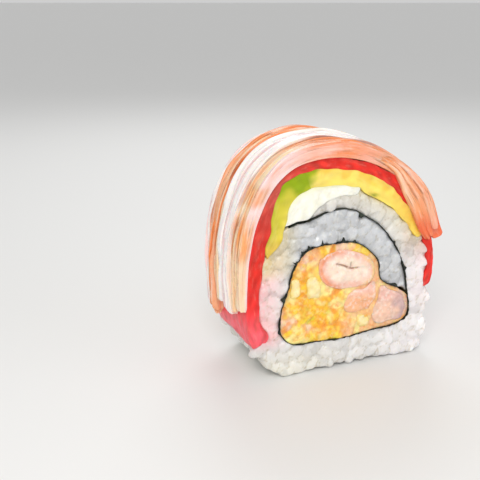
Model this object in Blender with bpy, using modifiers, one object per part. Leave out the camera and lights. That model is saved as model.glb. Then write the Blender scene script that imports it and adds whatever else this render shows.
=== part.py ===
"""Uramaki roll, one cut piece: rice rolled outside a nori sheet, under avocado, tuna and crab."""
import math
import random

import bmesh
import bpy
from mathutils import Matrix, Vector

MM = 0.001
DEPTH = 20.0 * MM
GAP = 0.3 * MM
NORI_THICK = 0.4 * MM
SLOT_WIDTH = NORI_THICK + 2 * GAP
FINE_STEP = 2.0 * MM

RICE_CORE_DEPTH = DEPTH - 1.7 * MM
NORI_DEPTH = DEPTH - 1.1 * MM
LAYER_DEPTH = DEPTH - 0.8 * MM
FILLING_DEPTH = DEPTH - 1.0 * MM
SHRIMP_DEPTH = DEPTH - 0.2 * MM

NORI_STEP = 1.7 * MM
SHRIMP_STEP = 1.6 * MM
SLICE_ROUND = 0.3 * MM
AVOCADO_INSET = 0.2 * MM
CHEESE_INSET = 0.4 * MM
SHRIMP_ROUND = 0.7 * MM
BLOCK_INSET = 0.5 * MM
BLOCK_ROUND = 0.35 * MM
POCKET_DEPTH = DEPTH * 1.3

GRAIN_LENGTH = 5.6 * MM
GRAIN_WIDTH = 2.5 * MM
GRAIN_SPACING = 2.2 * MM
GRAIN_SEED = 20
GRAIN_STAND_OUT = 0.75 * MM
TUNA_CLEAR = 0.45 * MM
FLAT_BASE = 0.4 * MM
FLOOR_CLEAR = 0.25 * MM
SHEET_CLEAR = SLOT_WIDTH / 2 + 0.02 * MM
FLANK_STEP = 2.3 * MM
FLANK_ROWS = 4
FLANK_FIRST_ROW = -7.2
FLANK_ROW_GAP = 4.6
FLANK_SINK = 0.55 * MM
FLANK_CLEAR = 1.9 * MM
CRUMB_SIZE = 1.9 * MM
CRUMB_SPACING = 2.3 * MM
CRUMB_SEED = 7

CRAB_EDGE_ROUND = 0.7 * MM
CRAB_FRONT_ROUND = 0.45 * MM
CRAB_LIFT = GAP * 0.7
LIP_THICK = 1.3 * MM
LIP_INSET = 0.5 * MM
LIP_WELD = 0.1 * MM

# Section lines in millimetres, X to the right and Z up, seen on the front cut face.
TUNA_OUTSIDE = [(-19.9, 7.0), (-21.0, 11.0), (-21.2, 17.0), (-20.9, 23.0), (-20.2, 29.0),
                (-18.6, 34.2), (-16.0, 38.8), (-12.5, 42.0), (-8.0, 43.7), (-3.0, 43.9),
                (2.5, 42.9), (7.0, 41.2), (11.0, 38.8), (14.8, 35.2), (17.8, 30.8),
                (19.8, 26.4), (20.9, 22.0), (21.0, 18.0), (20.3, 14.9)]
TUNA_INSIDE = [(-17.2, 8.1), (-16.8, 9.8), (-18.1, 11.8), (-18.6, 15.0), (-18.5, 19.6),
               (-18.1, 23.6), (-17.4, 26.6), (-16.4, 31.5), (-15.4, 36.2), (-13.2, 40.0),
               (-9.4, 41.5), (-5.0, 41.8), (0.2, 41.2), (5.6, 39.5), (9.6, 37.2),
               (12.8, 34.0), (15.6, 30.0), (17.6, 26.4), (19.0, 22.6), (19.5, 19.0),
               (19.1, 16.0), (18.7, 14.6)]
AVOCADO_INSIDE = [(-16.9, 25.6), (-15.6, 26.8), (-14.2, 28.2), (-13.3, 31.2), (-12.7, 34.6),
                  (-11.0, 37.2), (-8.1, 38.2), (-3.1, 38.5), (0.2, 38.1), (2.9, 36.9),
                  (5.0, 35.7), (8.2, 34.0), (11.0, 32.0), (13.4, 29.6), (15.2, 27.2),
                  (16.7, 26.0)]
CHEESE_BASE = [(-13.1, 31.5), (-11.0, 32.2), (-8.6, 32.4), (-7.2, 33.6), (-4.4, 35.5),
               (-2.0, 36.2), (0.4, 36.3), (1.9, 36.2)]
NORI_PATH = [(12.7, 15.5), (11.6, 16.0), (10.3, 16.6), (8.9, 17.5), (8.0, 18.9), (7.9, 21.0),
             (7.2, 22.6), (5.7, 24.2), (3.9, 25.6), (2.0, 26.5), (-0.8, 26.8), (-5.3, 26.8),
             (-8.1, 26.2), (-9.9, 24.8), (-11.2, 22.6), (-12.3, 19.4), (-13.2, 16.5),
             (-14.0, 12.9), (-14.1, 10.2), (-13.2, 8.4), (-11.6, 7.0), (-9.0, 6.6),
             (-4.4, 6.5), (0.2, 6.3), (3.8, 6.6), (7.6, 7.0), (11.0, 7.2), (13.6, 7.7),
             (15.2, 8.8), (15.6, 10.8), (15.3, 13.0), (14.9, 15.2), (14.3, 18.2),
             (13.3, 21.1), (12.0, 23.9), (10.3, 26.3), (8.6, 28.4), (6.6, 30.2), (4.4, 31.5),
             (1.8, 33.0), (-1.0, 33.7), (-4.0, 33.4), (-6.6, 32.6), (-8.8, 31.9),
             (-11.0, 31.7), (-12.7, 31.1)]
RICE_FLOOR = [(20.0, 14.5), (20.5, 12.6), (19.6, 10.6), (19.2, 9.4), (19.8, 7.6), (19.7, 5.0),
              (19.0, 2.4), (17.8, 0.8), (16.4, 0.0), (-11.2, 0.0), (-13.4, 0.9), (-15.4, 2.7),
              (-16.9, 4.6), (-18.0, 5.7), (-19.3, 6.5)]
TUNA_FOOT = [(-19.6, 6.9), (-17.3, 8.0)]

SHRIMP_TOP = [(-5.9, 21.6), (-5.4, 23.8), (-3.6, 25.0), (-0.8, 25.4), (1.6, 25.1),
              (4.3, 23.7), (6.7, 21.6), (6.8, 19.2), (5.0, 17.6), (1.4, 16.9),
              (-2.4, 17.6), (-4.8, 19.2)]
SHRIMP_MIDDLE = [(2.0, 16.2), (4.8, 16.8), (6.6, 17.9), (7.4, 16.9), (7.4, 14.4), (6.2, 12.4),
                 (5.6, 11.7), (3.0, 11.6), (0.4, 12.2), (0.3, 14.4)]
SHRIMP_SIDE = [(8.6, 16.3), (10.4, 15.7), (12.4, 14.6), (14.2, 13.1), (14.7, 11.2),
               (14.4, 9.2), (13.2, 8.5), (10.6, 8.2), (7.9, 8.2), (6.6, 10.9), (7.9, 13.6)]
PALE_BLOCKS = [[(3.0, 10.9), (5.8, 10.9), (6.3, 8.2), (3.5, 7.9)],
               [(-12.0, 20.4), (-9.9, 20.7), (-9.8, 16.6), (-11.9, 16.3)],
               [(-8.6, 20.6), (-6.2, 20.8), (-4.9, 17.6), (-5.2, 15.6), (-8.3, 15.8)]]

# Each crab strip: name, front and back distance behind the front cut, thickness from left to right.
CRAB_STRIPS = [("crab_strip_front", 0.1, 4.1, (1.5, 2.0, 2.3, 2.7, 2.9, 3.0, 3.0, 2.4)),
               ("crab_strip_second", 4.45, 8.0, (1.6, 2.3, 2.8, 3.2, 3.5, 3.5, 3.3, 2.8)),
               ("crab_strip_third", 8.35, 12.2, (1.5, 2.2, 2.6, 3.3, 3.8, 3.6, 3.2, 2.6)),
               ("crab_strip_fourth", 12.55, 16.4, (1.4, 2.0, 2.2, 2.8, 3.5, 3.6, 3.1, 2.4)),
               ("crab_strip_back", 16.75, 19.9, (0.9, 1.3, 1.6, 2.3, 2.9, 3.1, 2.8, 2.2))]
CRAB_FOOT_Z = (15.0, 13.4, 13.8, 9.8, 10.6)
CRAB_END_Z = (24.6, 27.2, 25.4, 27.8, 24.2)
LIP_INSIDE = [(3.6, 44.2), (6.6, 42.4), (9.6, 40.2), (11.2, 37.6), (12.3, 35.4), (13.8, 32.9),
              (15.0, 30.6), (16.4, 28.0), (18.3, 25.4)]

for old in list(bpy.data.objects):
    bpy.data.objects.remove(old, do_unlink=True)

PARTS = bpy.data.collections.new("uramaki_roll")
bpy.context.scene.collection.children.link(PARTS)
CUTTERS = bpy.data.collections.new("uramaki_cutters")
bpy.context.scene.collection.children.link(CUTTERS)
CUTTERS.hide_render = True


def material(name, colour, roughness):
    """A plain surface with one colour."""
    made = bpy.data.materials.new(name)
    made.use_nodes = True
    shader = made.node_tree.nodes["Principled BSDF"]
    shader.inputs["Base Color"].default_value = (*colour, 1.0)
    shader.inputs["Roughness"].default_value = roughness
    shader.inputs["Metallic"].default_value = 0.0
    return made


def to_metres(points):
    """Section points given in millimetres, as vectors in metres."""
    return [Vector((x * MM, z * MM)) for x, z in points]


def smooth_line(points, step=FINE_STEP):
    """A soft line through the given section points, spaced about one step apart."""
    pts = to_metres(points)
    ends = [2 * pts[0] - pts[1]] + pts + [2 * pts[-1] - pts[-2]]
    line = []
    for i in range(1, len(ends) - 2):
        a, b, c, d = ends[i - 1], ends[i], ends[i + 1], ends[i + 2]
        count = max(1, round((c - b).length / step))
        for k in range(count):
            t = k / count
            line.append(0.5 * ((2 * b) + (c - a) * t + (2 * a - 5 * b + 4 * c - d) * t * t
                               + (3 * b - 3 * c + d - a) * t ** 3))
    line.append(pts[-1])
    return line


def smooth_loop(points, step=FINE_STEP):
    """A soft closed line through the given section points."""
    line = smooth_line([points[-1]] + list(points) + [points[0], points[1]], step)
    start = to_metres([points[0]])[0]
    first = min(range(len(line)), key=lambda i: (line[i] - start).length)
    after = line[first + 1:]
    last = first + 1 + min(range(len(after)), key=lambda i: (after[i] - start).length)
    return line[first:last]


def area_of(loop):
    """Signed area inside a closed section line."""
    total = 0.0
    for p, q in zip(loop, loop[1:] + loop[:1]):
        total += p.x * q.y - q.x * p.y
    return total / 2


def shrunk(loop, distance):
    """A closed section line moved inward by a distance, corners kept."""
    side = 1.0 if area_of(loop) > 0 else -1.0
    count = len(loop)
    moved = []
    for i in range(count):
        before = (loop[i] - loop[i - 1]).normalized()
        after = (loop[(i + 1) % count] - loop[i]).normalized()
        n1 = Vector((-before.y, before.x)) * side
        n2 = Vector((-after.y, after.x)) * side
        both = n1 + n2
        reach = max(0.55, both.length / 2)
        moved.append(loop[i] + both.normalized() * (distance / reach))
    return moved


def offset_line(line, distances):
    """An open section line moved to its left by a distance given at each point."""
    moved = []
    for i, point in enumerate(line):
        ahead = line[min(i + 1, len(line) - 1)] - line[max(i - 1, 0)]
        ahead.normalize()
        moved.append(point + Vector((-ahead.y, ahead.x)) * distances[i])
    return moved


def keep(obj, name, mat, group=None):
    """Name an object, give it its material and put it in its collection."""
    obj.name = name
    obj.data.name = name
    for other in list(obj.users_collection):
        other.objects.unlink(obj)
    (group or PARTS).objects.link(obj)
    if group is CUTTERS:
        obj.hide_render = True
        obj.display_type = "WIRE"
    obj.data.materials.clear()
    if mat:
        obj.data.materials.append(mat)
    return obj


def curve_mesh(curve_data, name):
    """The mesh of a curve, standing on edge so that its extrusion runs front to back."""
    holder = bpy.data.objects.new(name + "_line", curve_data)
    bpy.context.scene.collection.objects.link(holder)
    holder.rotation_euler = (math.radians(90), 0, 0)
    bpy.context.view_layer.update()
    mesh = bpy.data.meshes.new_from_object(holder.evaluated_get(bpy.context.evaluated_depsgraph_get()))
    mesh.transform(holder.matrix_world)
    bpy.data.objects.remove(holder, do_unlink=True)
    bm = bmesh.new()
    bm.from_mesh(mesh)
    bmesh.ops.remove_doubles(bm, verts=bm.verts, dist=0.00001)
    bmesh.ops.dissolve_limit(bm, angle_limit=math.radians(0.2), verts=bm.verts, edges=bm.edges)
    bmesh.ops.recalc_face_normals(bm, faces=bm.faces)
    bm.to_mesh(mesh)
    bm.free()
    return bpy.data.objects.new(name, mesh)


def prism(loop, depth, name, mat=None, group=None, centre_y=0.0):
    """A closed section line drawn out from front to back."""
    curve = bpy.data.curves.new(name + "_outline", "CURVE")
    curve.dimensions = "2D"
    curve.fill_mode = "BOTH"
    curve.extrude = depth / 2
    spline = curve.splines.new("POLY")
    spline.points.add(len(loop) - 1)
    for target, point in zip(spline.points, loop):
        target.co = (point.x, point.y, 0.0, 1.0)
    spline.use_cyclic_u = True
    obj = curve_mesh(curve, name)
    obj.data.transform(Matrix.Translation((0, centre_y, 0)))
    return keep(obj, name, mat, group)


def ribbon(line, depth, thickness, name, mat=None, group=None):
    """A sheet that follows an open section line, thickened evenly to both sides."""
    curve = bpy.data.curves.new(name + "_path", "CURVE")
    curve.dimensions = "2D"
    curve.fill_mode = "NONE"
    curve.extrude = depth / 2
    spline = curve.splines.new("POLY")
    spline.points.add(len(line) - 1)
    for target, point in zip(spline.points, line):
        target.co = (point.x, point.y, 0.0, 1.0)
    obj = keep(curve_mesh(curve, name), name, mat, group)
    solid = obj.modifiers.new("Thickness", "SOLIDIFY")
    solid.thickness = thickness
    solid.offset = 0.0
    solid.use_even_offset = True
    apply_all(obj)
    return obj


def apply_all(obj):
    """Fix an object's modifiers into its mesh."""
    bpy.context.view_layer.update()
    graph = bpy.context.evaluated_depsgraph_get()
    mesh = bpy.data.meshes.new_from_object(obj.evaluated_get(graph))
    obj.modifiers.clear()
    old = obj.data
    obj.data = mesh
    bpy.data.meshes.remove(old)
    obj.data.name = obj.name


def cut(obj, cutters, solver="EXACT"):
    """Take the cutters out of an object."""
    for cutter in cutters:
        boolean = obj.modifiers.new("Cut", "BOOLEAN")
        boolean.operation = "DIFFERENCE"
        boolean.solver = solver
        boolean.object = cutter
    apply_all(obj)


def round_edges(obj, width, segments, angle=40.0):
    """Round an object's sharp edges."""
    bevel = obj.modifiers.new("Round", "BEVEL")
    bevel.width = width
    bevel.segments = segments
    bevel.limit_method = "ANGLE"
    bevel.angle_limit = math.radians(angle)
    bevel.use_clamp_overlap = True
    apply_all(obj)


def shade_smooth(obj, angle=35.0):
    """Smooth shading with the sharp edges kept."""
    bm = bmesh.new()
    bm.from_mesh(obj.data)
    bmesh.ops.triangulate(bm, faces=[f for f in bm.faces if len(f.verts) > 4])
    for face in bm.faces:
        face.smooth = True
    for edge in bm.edges:
        edge.smooth = len(edge.link_faces) == 2 and edge.calc_face_angle(0) < math.radians(angle)
    bm.to_mesh(obj.data)
    bm.free()


def distance_to_line(point, line, closed=False):
    """Shortest distance from a section point to a section line."""
    best = 1.0
    pairs = list(zip(line, line[1:]))
    if closed:
        pairs.append((line[-1], line[0]))
    for p, q in pairs:
        along = q - p
        t = max(0.0, min(1.0, (point - p).dot(along) / max(along.length_squared, 1e-18)))
        best = min(best, (point - (p + along * t)).length)
    return best


def inside(point, loop):
    """True when a section point lies inside a closed section line."""
    hit = False
    for p, q in zip(loop, loop[1:] + loop[:1]):
        if (p.y > point.y) != (q.y > point.y):
            if point.x < p.x + (point.y - p.y) * (q.x - p.x) / (q.y - p.y):
                hit = not hit
    return hit


def join_on(core, pieces, name):
    """Fuse loose pieces to their core with one union, then drop the loose pieces."""
    group = bpy.data.collections.new(name + "_pieces")
    bpy.context.scene.collection.children.link(group)
    for piece in pieces:
        group.objects.link(piece)
    union = core.modifiers.new("Fuse", "BOOLEAN")
    union.operation = "UNION"
    union.solver = "EXACT"
    union.operand_type = "COLLECTION"
    union.collection = group
    apply_all(core)
    for piece in pieces:
        bpy.data.objects.remove(piece, do_unlink=True)
    bpy.data.collections.remove(group)
    drop_scraps(core)


def drop_scraps(obj):
    """Keep the largest connected shell of an object."""
    bm = bmesh.new()
    bm.from_mesh(obj.data)
    bmesh.ops.remove_doubles(bm, verts=bm.verts, dist=0.000001)
    seen = set()
    shells = []
    for start in bm.verts:
        if start in seen:
            continue
        shell = {start}
        edge_of = [start]
        while edge_of:
            vert = edge_of.pop()
            for edge in vert.link_edges:
                other = edge.other_vert(vert)
                if other not in shell:
                    shell.add(other)
                    edge_of.append(other)
        seen |= shell
        shells.append(shell)
    largest = max(shells, key=len)
    loose = [v for v in bm.verts if v not in largest]
    bmesh.ops.delete(bm, geom=loose, context="VERTS")
    bmesh.ops.triangulate(bm, faces=bm.faces)
    bm.to_mesh(obj.data)
    bm.free()


def grain(place, along, normal, length, width, name):
    """One rice grain: a long rounded body lying along a direction."""
    mesh = bpy.data.meshes.new(name)
    bm = bmesh.new()
    bmesh.ops.create_uvsphere(bm, u_segments=5, v_segments=4, radius=0.5)
    side = normal.cross(along).normalized()
    up = along.cross(side).normalized()
    turn = Matrix((side, up, along.normalized())).transposed().to_4x4()
    bmesh.ops.scale(bm, vec=(width, width * 0.86, length), verts=bm.verts)
    bmesh.ops.transform(bm, matrix=Matrix.Translation(place) @ turn, verts=bm.verts)
    bm.to_mesh(mesh)
    bm.free()
    return bpy.data.objects.new(name, mesh)


# Materials, one for each node's food.
RICE = material("rice_white", (0.80, 0.79, 0.74), 0.45)
NORI = material("nori_dark", (0.012, 0.018, 0.012), 0.6)
MIX = material("mix_yellow", (0.85, 0.48, 0.12), 0.5)
SHRIMP = material("shrimp_pink", (0.86, 0.55, 0.46), 0.4)
BLOCK = material("block_cream", (0.88, 0.76, 0.50), 0.45)
CHEESE = material("cheese_white", (0.90, 0.88, 0.72), 0.45)
GREEN = material("avocado_green", (0.55, 0.58, 0.10), 0.4)
YELLOW = material("avocado_yellow", (0.86, 0.66, 0.16), 0.4)
TUNA = material("tuna_red", (0.66, 0.05, 0.05), 0.35)
CRAB = material("crab_pink", (0.88, 0.52, 0.38), 0.4)

tuna_outside = smooth_line(TUNA_OUTSIDE)
tuna_inside = smooth_line(TUNA_INSIDE)
avocado_inside = smooth_line(AVOCADO_INSIDE)
cheese_base = smooth_line(CHEESE_BASE)
nori_path = smooth_line(NORI_PATH, NORI_STEP)
rice_floor = to_metres(RICE_FLOOR)


def part_between(line, low, high):
    """The stretch of a section line between the points nearest two given ones."""
    first = min(range(len(line)), key=lambda i: (line[i] - low).length)
    last = min(range(len(line)), key=lambda i: (line[i] - high).length)
    return line[first:last + 1]


avocado_foot = to_metres([(-17.4, 26.6)])[0]
avocado_tip = to_metres([(17.6, 26.4)])[0]
avocado_outside = part_between(tuna_inside, avocado_foot, avocado_tip)
cheese_left = to_metres([(-13.3, 31.2)])[0]
cheese_right = to_metres([(2.9, 36.9)])[0]
cheese_top = part_between(avocado_inside, cheese_left, cheese_right)
inner_turn_end = min(range(len(nori_path)),
                     key=lambda i: (nori_path[i] - to_metres([(15.3, 13.0)])[0]).length)
filling_loop = nori_path[:inner_turn_end + 1] + to_metres([(14.7, 14.0), (13.8, 14.9)])

# Tuna: one raw slice bent over the roll, its left foot longer than its right one.
tuna_loop = tuna_outside + list(reversed(tuna_inside))
tuna = prism(shrunk(tuna_loop, GAP / 2), LAYER_DEPTH, "tuna", TUNA)
round_edges(tuna, SLICE_ROUND, 1)
shade_smooth(tuna)

# Avocado: two slices under the tuna that meet on a slanted joint at the upper left.
joint_low = to_metres([(-8.1, 38.2)])[0]
joint_high = to_metres([(-9.4, 41.5)])[0]
left_out = part_between(tuna_inside, avocado_foot, joint_high)
left_in = part_between(avocado_inside, to_metres([(-16.9, 25.6)])[0], joint_low)
avocado_left = prism(shrunk(left_out + list(reversed(left_in)), GAP / 2), LAYER_DEPTH - AVOCADO_INSET,
                     "avocado_left", GREEN)
right_out = part_between(tuna_inside, joint_high, avocado_tip)
right_in = part_between(avocado_inside, joint_low, to_metres([(16.7, 26.0)])[0])
avocado_right = prism(shrunk(right_out + list(reversed(right_in)), GAP / 2), LAYER_DEPTH - AVOCADO_INSET,
                      "avocado_right", YELLOW)
for slice_piece in (avocado_left, avocado_right):
    round_edges(slice_piece, SLICE_ROUND, 1)
    shade_smooth(slice_piece)

# Nori: one sheet, a turn and a half from the middle of the roll to under the cheese.
nori = ribbon(nori_path, NORI_DEPTH, NORI_THICK, "nori", NORI)
shade_smooth(nori)
slot_line = list(nori_path)
slot_line[0] = slot_line[0] + (slot_line[0] - slot_line[1]).normalized() * GAP
slot_line[-1] = slot_line[-1] + (slot_line[-1] - slot_line[-2]).normalized() * GAP
slot = ribbon(slot_line, POCKET_DEPTH, SLOT_WIDTH, "nori_slot", None, CUTTERS)
cavity = prism(filling_loop, POCKET_DEPTH, "filling_cavity", None, CUTTERS)

# Cream cheese: a soft wedge between the avocado and the rice.
cheese = prism(shrunk(cheese_top + list(reversed(cheese_base)), GAP / 2), LAYER_DEPTH - CHEESE_INSET,
               "cream_cheese", CHEESE)
shade_smooth(cheese)

# Rice: a core with the grains that show on both cuts and round the foot fused on.
rice_left = part_between(tuna_inside, to_metres([(-17.2, 8.1)])[0], avocado_foot)
rice_under_left = part_between(avocado_inside, to_metres([(-16.9, 25.6)])[0], cheese_left)
rice_under_right = part_between(avocado_inside, cheese_right, to_metres([(16.7, 26.0)])[0])
rice_right = part_between(tuna_inside, avocado_tip, to_metres([(18.7, 14.6)])[0])
rice_loop = (rice_left + rice_under_left + cheese_base[1:] + rice_under_right
             + rice_right + rice_floor + to_metres(TUNA_FOOT[:1]))
rice_section = shrunk(rice_loop, GAP / 2)
rice = prism(rice_section, RICE_CORE_DEPTH, "rice", RICE)
for vert in rice.data.vertices:
    if vert.co.z < FLAT_BASE:
        vert.co.z = 0.0

draw = random.Random(GRAIN_SEED)


def grain_fits(centre, direction, length, width):
    """True when a grain lying flat on the cut stays inside the rice."""
    across = Vector((-direction.y, direction.x))
    for a, b in ((0.5, 0), (-0.5, 0), (0, 0.5), (0, -0.5), (0.36, 0.36), (-0.36, 0.36),
                 (0.36, -0.36), (-0.36, -0.36), (0, 0), (0.25, 0), (-0.25, 0)):
        point = centre + direction * (a * length) + across * (b * width)
        if point.y < FLOOR_CLEAR:
            return False
        if distance_to_line(point, nori_path) < SHEET_CLEAR:
            return False
        if inside(point, filling_loop):
            return False
        if inside(point, rice_section):
            continue
        free_side = distance_to_line(point, rice_floor)
        if free_side > GRAIN_STAND_OUT or distance_to_line(point, tuna_loop, True) < TUNA_CLEAR:
            return False
    return True


def nearest_direction(centre):
    """Direction of the rice layer at a section point."""
    lines = nori_path + tuna_inside
    best = min(range(len(lines) - 1), key=lambda i: (lines[i] - centre).length)
    return (lines[best + 1] - lines[best]).normalized()


grains = []
for cut_side in (-1, 1):
    placed = []
    for attempt in range(9000):
        spot = Vector((draw.uniform(-20.5, 21.0) * MM, draw.uniform(0.8, 38.5) * MM))
        if not inside(spot, rice_section) or inside(spot, filling_loop):
            continue
        heading = nearest_direction(spot)
        swing = draw.gauss(0.0, 0.6)
        heading = Vector((heading.x * math.cos(swing) - heading.y * math.sin(swing),
                          heading.x * math.sin(swing) + heading.y * math.cos(swing)))
        length = GRAIN_LENGTH * draw.uniform(0.55, 0.95)
        width = GRAIN_WIDTH * draw.uniform(0.86, 1.04)
        if any((spot - other).length < GRAIN_SPACING for other in placed):
            continue
        if not grain_fits(spot, heading, length, width):
            continue
        placed.append(spot)
        tip = draw.uniform(-0.16, 0.16)
        along = Vector((heading.x, tip, heading.y)).normalized()
        y = cut_side * (DEPTH / 2 - width * 0.43 - draw.uniform(0.0, 0.3) * MM)
        place = Vector((spot.x, y, spot.y))
        grains.append(grain(place, along, Vector((0, cut_side, 0)), length, width,
                            "grain_%03d" % len(grains)))

flank_right = smooth_line(RICE_FLOOR[:9], FLANK_STEP)
flank_left = smooth_line(RICE_FLOOR[9:], FLANK_STEP)
for flank in (flank_right, flank_left):
    for i in range(1, len(flank) - 1):
        ahead = (flank[i + 1] - flank[i - 1]).normalized()
        inward = Vector((ahead.y, -ahead.x))
        for row in range(FLANK_ROWS):
            y = (FLANK_FIRST_ROW + FLANK_ROW_GAP * row + draw.uniform(-0.7, 0.7)) * MM
            width = GRAIN_WIDTH * draw.uniform(0.9, 1.08)
            spot = flank[i] + inward * FLANK_SINK
            if distance_to_line(spot, tuna_loop, True) < FLANK_CLEAR:
                continue
            lean = draw.uniform(-0.5, 0.5)
            along = Vector((ahead.x * math.sin(lean), math.cos(lean), ahead.y * math.sin(lean)))
            z = max(spot.y, width * 0.5 + 0.05 * MM + abs(along.z) * GRAIN_LENGTH * 0.4)
            place = Vector((spot.x, y, z))
            outward = Vector((-inward.x, 0, -inward.y))
            grains.append(grain(place, along, outward, GRAIN_LENGTH * draw.uniform(0.78, 0.95),
                                width, "grain_%03d" % len(grains)))

cut(rice, [slot, cavity], "MANIFOLD")
join_on(rice, grains, "rice")
shade_smooth(rice, 50.0)

# Filling: a crumbly cooked mix round three shrimp pieces and three pale blocks.
shrimp_loops = {"shrimp_top": smooth_loop(SHRIMP_TOP, SHRIMP_STEP),
                "shrimp_middle": smooth_loop(SHRIMP_MIDDLE, SHRIMP_STEP),
                "shrimp_side": smooth_loop(SHRIMP_SIDE, SHRIMP_STEP)}
mix_section = shrunk(filling_loop, NORI_THICK / 2 + GAP)
filling_mix = prism(mix_section, FILLING_DEPTH, "filling_mix", MIX)
pockets = []
for name, loop in shrimp_loops.items():
    pockets.append(prism(shrunk(loop, -GAP / 2), POCKET_DEPTH, name + "_pocket", None, CUTTERS))
for number, corners in enumerate(PALE_BLOCKS, 1):
    pockets.append(prism(shrunk(to_metres(corners), -GAP / 2), POCKET_DEPTH,
                         "pale_block_%d_pocket" % number, None, CUTTERS))
cut(filling_mix, pockets)

block_loops = [to_metres(corners) for corners in PALE_BLOCKS]
blocked = list(shrimp_loops.values()) + block_loops
draw = random.Random(CRUMB_SEED)


def crumb_fits(spot, size):
    """True when a crumb lies in the mix, clear of the shrimp and the pale blocks."""
    if not inside(spot, mix_section) or distance_to_line(spot, mix_section, True) < size * 0.6:
        return False
    return not any(inside(spot, loop) or distance_to_line(spot, loop, True) < size * 0.62 + GAP
                   for loop in blocked)


def crumb(place, size, turn, name):
    """One lump of the mix: a low round body turned its own way."""
    mesh = bpy.data.meshes.new(name)
    bm = bmesh.new()
    bmesh.ops.create_icosphere(bm, subdivisions=1, radius=size / 2)
    bmesh.ops.transform(bm, matrix=Matrix.Translation(place) @ turn, verts=bm.verts)
    bm.to_mesh(mesh)
    bm.free()
    return bpy.data.objects.new(name, mesh)


crumbs = []
for cut_side in (-1, 1):
    placed = []
    for attempt in range(1500):
        spot = Vector((draw.uniform(-14, 15) * MM, draw.uniform(7, 26.5) * MM))
        size = CRUMB_SIZE * draw.uniform(0.75, 1.25)
        if not crumb_fits(spot, size):
            continue
        if any((spot - other).length < CRUMB_SPACING for other in placed):
            continue
        placed.append(spot)
        turn = Matrix.Rotation(draw.uniform(0, 3.1), 4, "Z") @ Matrix.Rotation(draw.uniform(0, 3.1), 4, "X")
        place = Vector((spot.x, cut_side * (FILLING_DEPTH / 2 - size * 0.22), spot.y))
        crumbs.append(crumb(place, size, turn, "crumb_%03d" % len(crumbs)))
join_on(filling_mix, crumbs, "filling_mix")
shade_smooth(filling_mix, 50.0)

for name, loop in shrimp_loops.items():
    shrimp = prism(shrunk(loop, GAP / 2), SHRIMP_DEPTH, name, SHRIMP)
    round_edges(shrimp, SHRIMP_ROUND, 2)
    shade_smooth(shrimp)
for number, loop in enumerate(block_loops, 1):
    block = prism(shrunk(loop, GAP / 2), SHRIMP_DEPTH - BLOCK_INSET, "pale_block_%d" % number, BLOCK)
    round_edges(block, BLOCK_ROUND, 1, 20.0)
    shade_smooth(block)

# Crab: five strips side by side over the tuna, from the left flank across the top to the right.
for (name, near, far, thick), foot_z, end_z in zip(CRAB_STRIPS, CRAB_FOOT_Z, CRAB_END_Z):
    middle = len(tuna_outside) // 2
    low = min(range(middle), key=lambda i: abs(tuna_outside[i].y - foot_z * MM))
    high = min(range(middle, len(tuna_outside)), key=lambda i: abs(tuna_outside[i].y - end_z * MM))
    base = tuna_outside[low:high + 1:2]
    if base[-1] is not tuna_outside[high]:
        base.append(tuna_outside[high])
    height = []
    for i in range(len(base)):
        place = i / (len(base) - 1) * (len(thick) - 1)
        k = min(int(place), len(thick) - 2)
        height.append((thick[k] + (thick[k + 1] - thick[k]) * (place - k)) * MM)
    under = offset_line(base, [CRAB_LIFT] * len(base))
    over = offset_line(base, [CRAB_LIFT + h for h in height])
    strip = prism(over + list(reversed(under)), (far - near) * MM, name, CRAB, None,
                  (near + far) / 2 * MM - DEPTH / 2)
    if name == "crab_strip_front":
        lip_inside = smooth_line(LIP_INSIDE)
        lip_over = part_between(over, to_metres([(5.0, 44.6)])[0], over[-1])
        lip_over = offset_line(lip_over, [-LIP_INSET] * len(lip_over))
        lip_loop = lip_over + list(reversed(lip_inside))
        lip_middle = -DEPTH / 2 - LIP_THICK / 2 + LIP_WELD
        lip = prism(lip_loop, LIP_THICK, "crab_lip", None, None, lip_middle)
        PARTS.objects.unlink(lip)
        join_on(strip, [lip], name)
    round_edges(strip, CRAB_FRONT_ROUND if name == "crab_strip_front" else CRAB_EDGE_ROUND, 2, 50.0)
    shade_smooth(strip)

# The origin is the bottom centre of the whole piece's box.
corners = [vert.co for piece in PARTS.objects for vert in piece.data.vertices]
middle = Vector([(min(c[i] for c in corners) + max(c[i] for c in corners)) / 2 for i in (0, 1)])
for piece in list(PARTS.objects) + list(CUTTERS.objects):
    piece.data.transform(Matrix.Translation((-middle.x, -middle.y, 0)))
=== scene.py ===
import math

import bpy
import numpy as np
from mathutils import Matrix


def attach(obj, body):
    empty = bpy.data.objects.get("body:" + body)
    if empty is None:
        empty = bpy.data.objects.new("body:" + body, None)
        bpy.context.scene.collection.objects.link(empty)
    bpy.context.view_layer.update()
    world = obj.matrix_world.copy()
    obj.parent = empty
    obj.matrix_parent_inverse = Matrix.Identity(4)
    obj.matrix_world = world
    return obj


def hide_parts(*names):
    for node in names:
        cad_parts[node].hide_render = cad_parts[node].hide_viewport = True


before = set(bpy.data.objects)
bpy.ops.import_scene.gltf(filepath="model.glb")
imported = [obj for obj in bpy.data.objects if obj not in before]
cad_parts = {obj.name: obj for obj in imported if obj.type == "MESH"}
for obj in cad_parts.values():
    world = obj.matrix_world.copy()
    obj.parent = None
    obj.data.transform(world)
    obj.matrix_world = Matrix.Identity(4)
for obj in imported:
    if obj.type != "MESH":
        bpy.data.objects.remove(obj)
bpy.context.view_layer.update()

# Nori.
# One thin sheet of pressed seaweed, near black and brittle, rolled a turn and a half.
# It is a ribbon along the rolled path, with ragged cut edges and small torn spikes.
MM = 0.001
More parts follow.
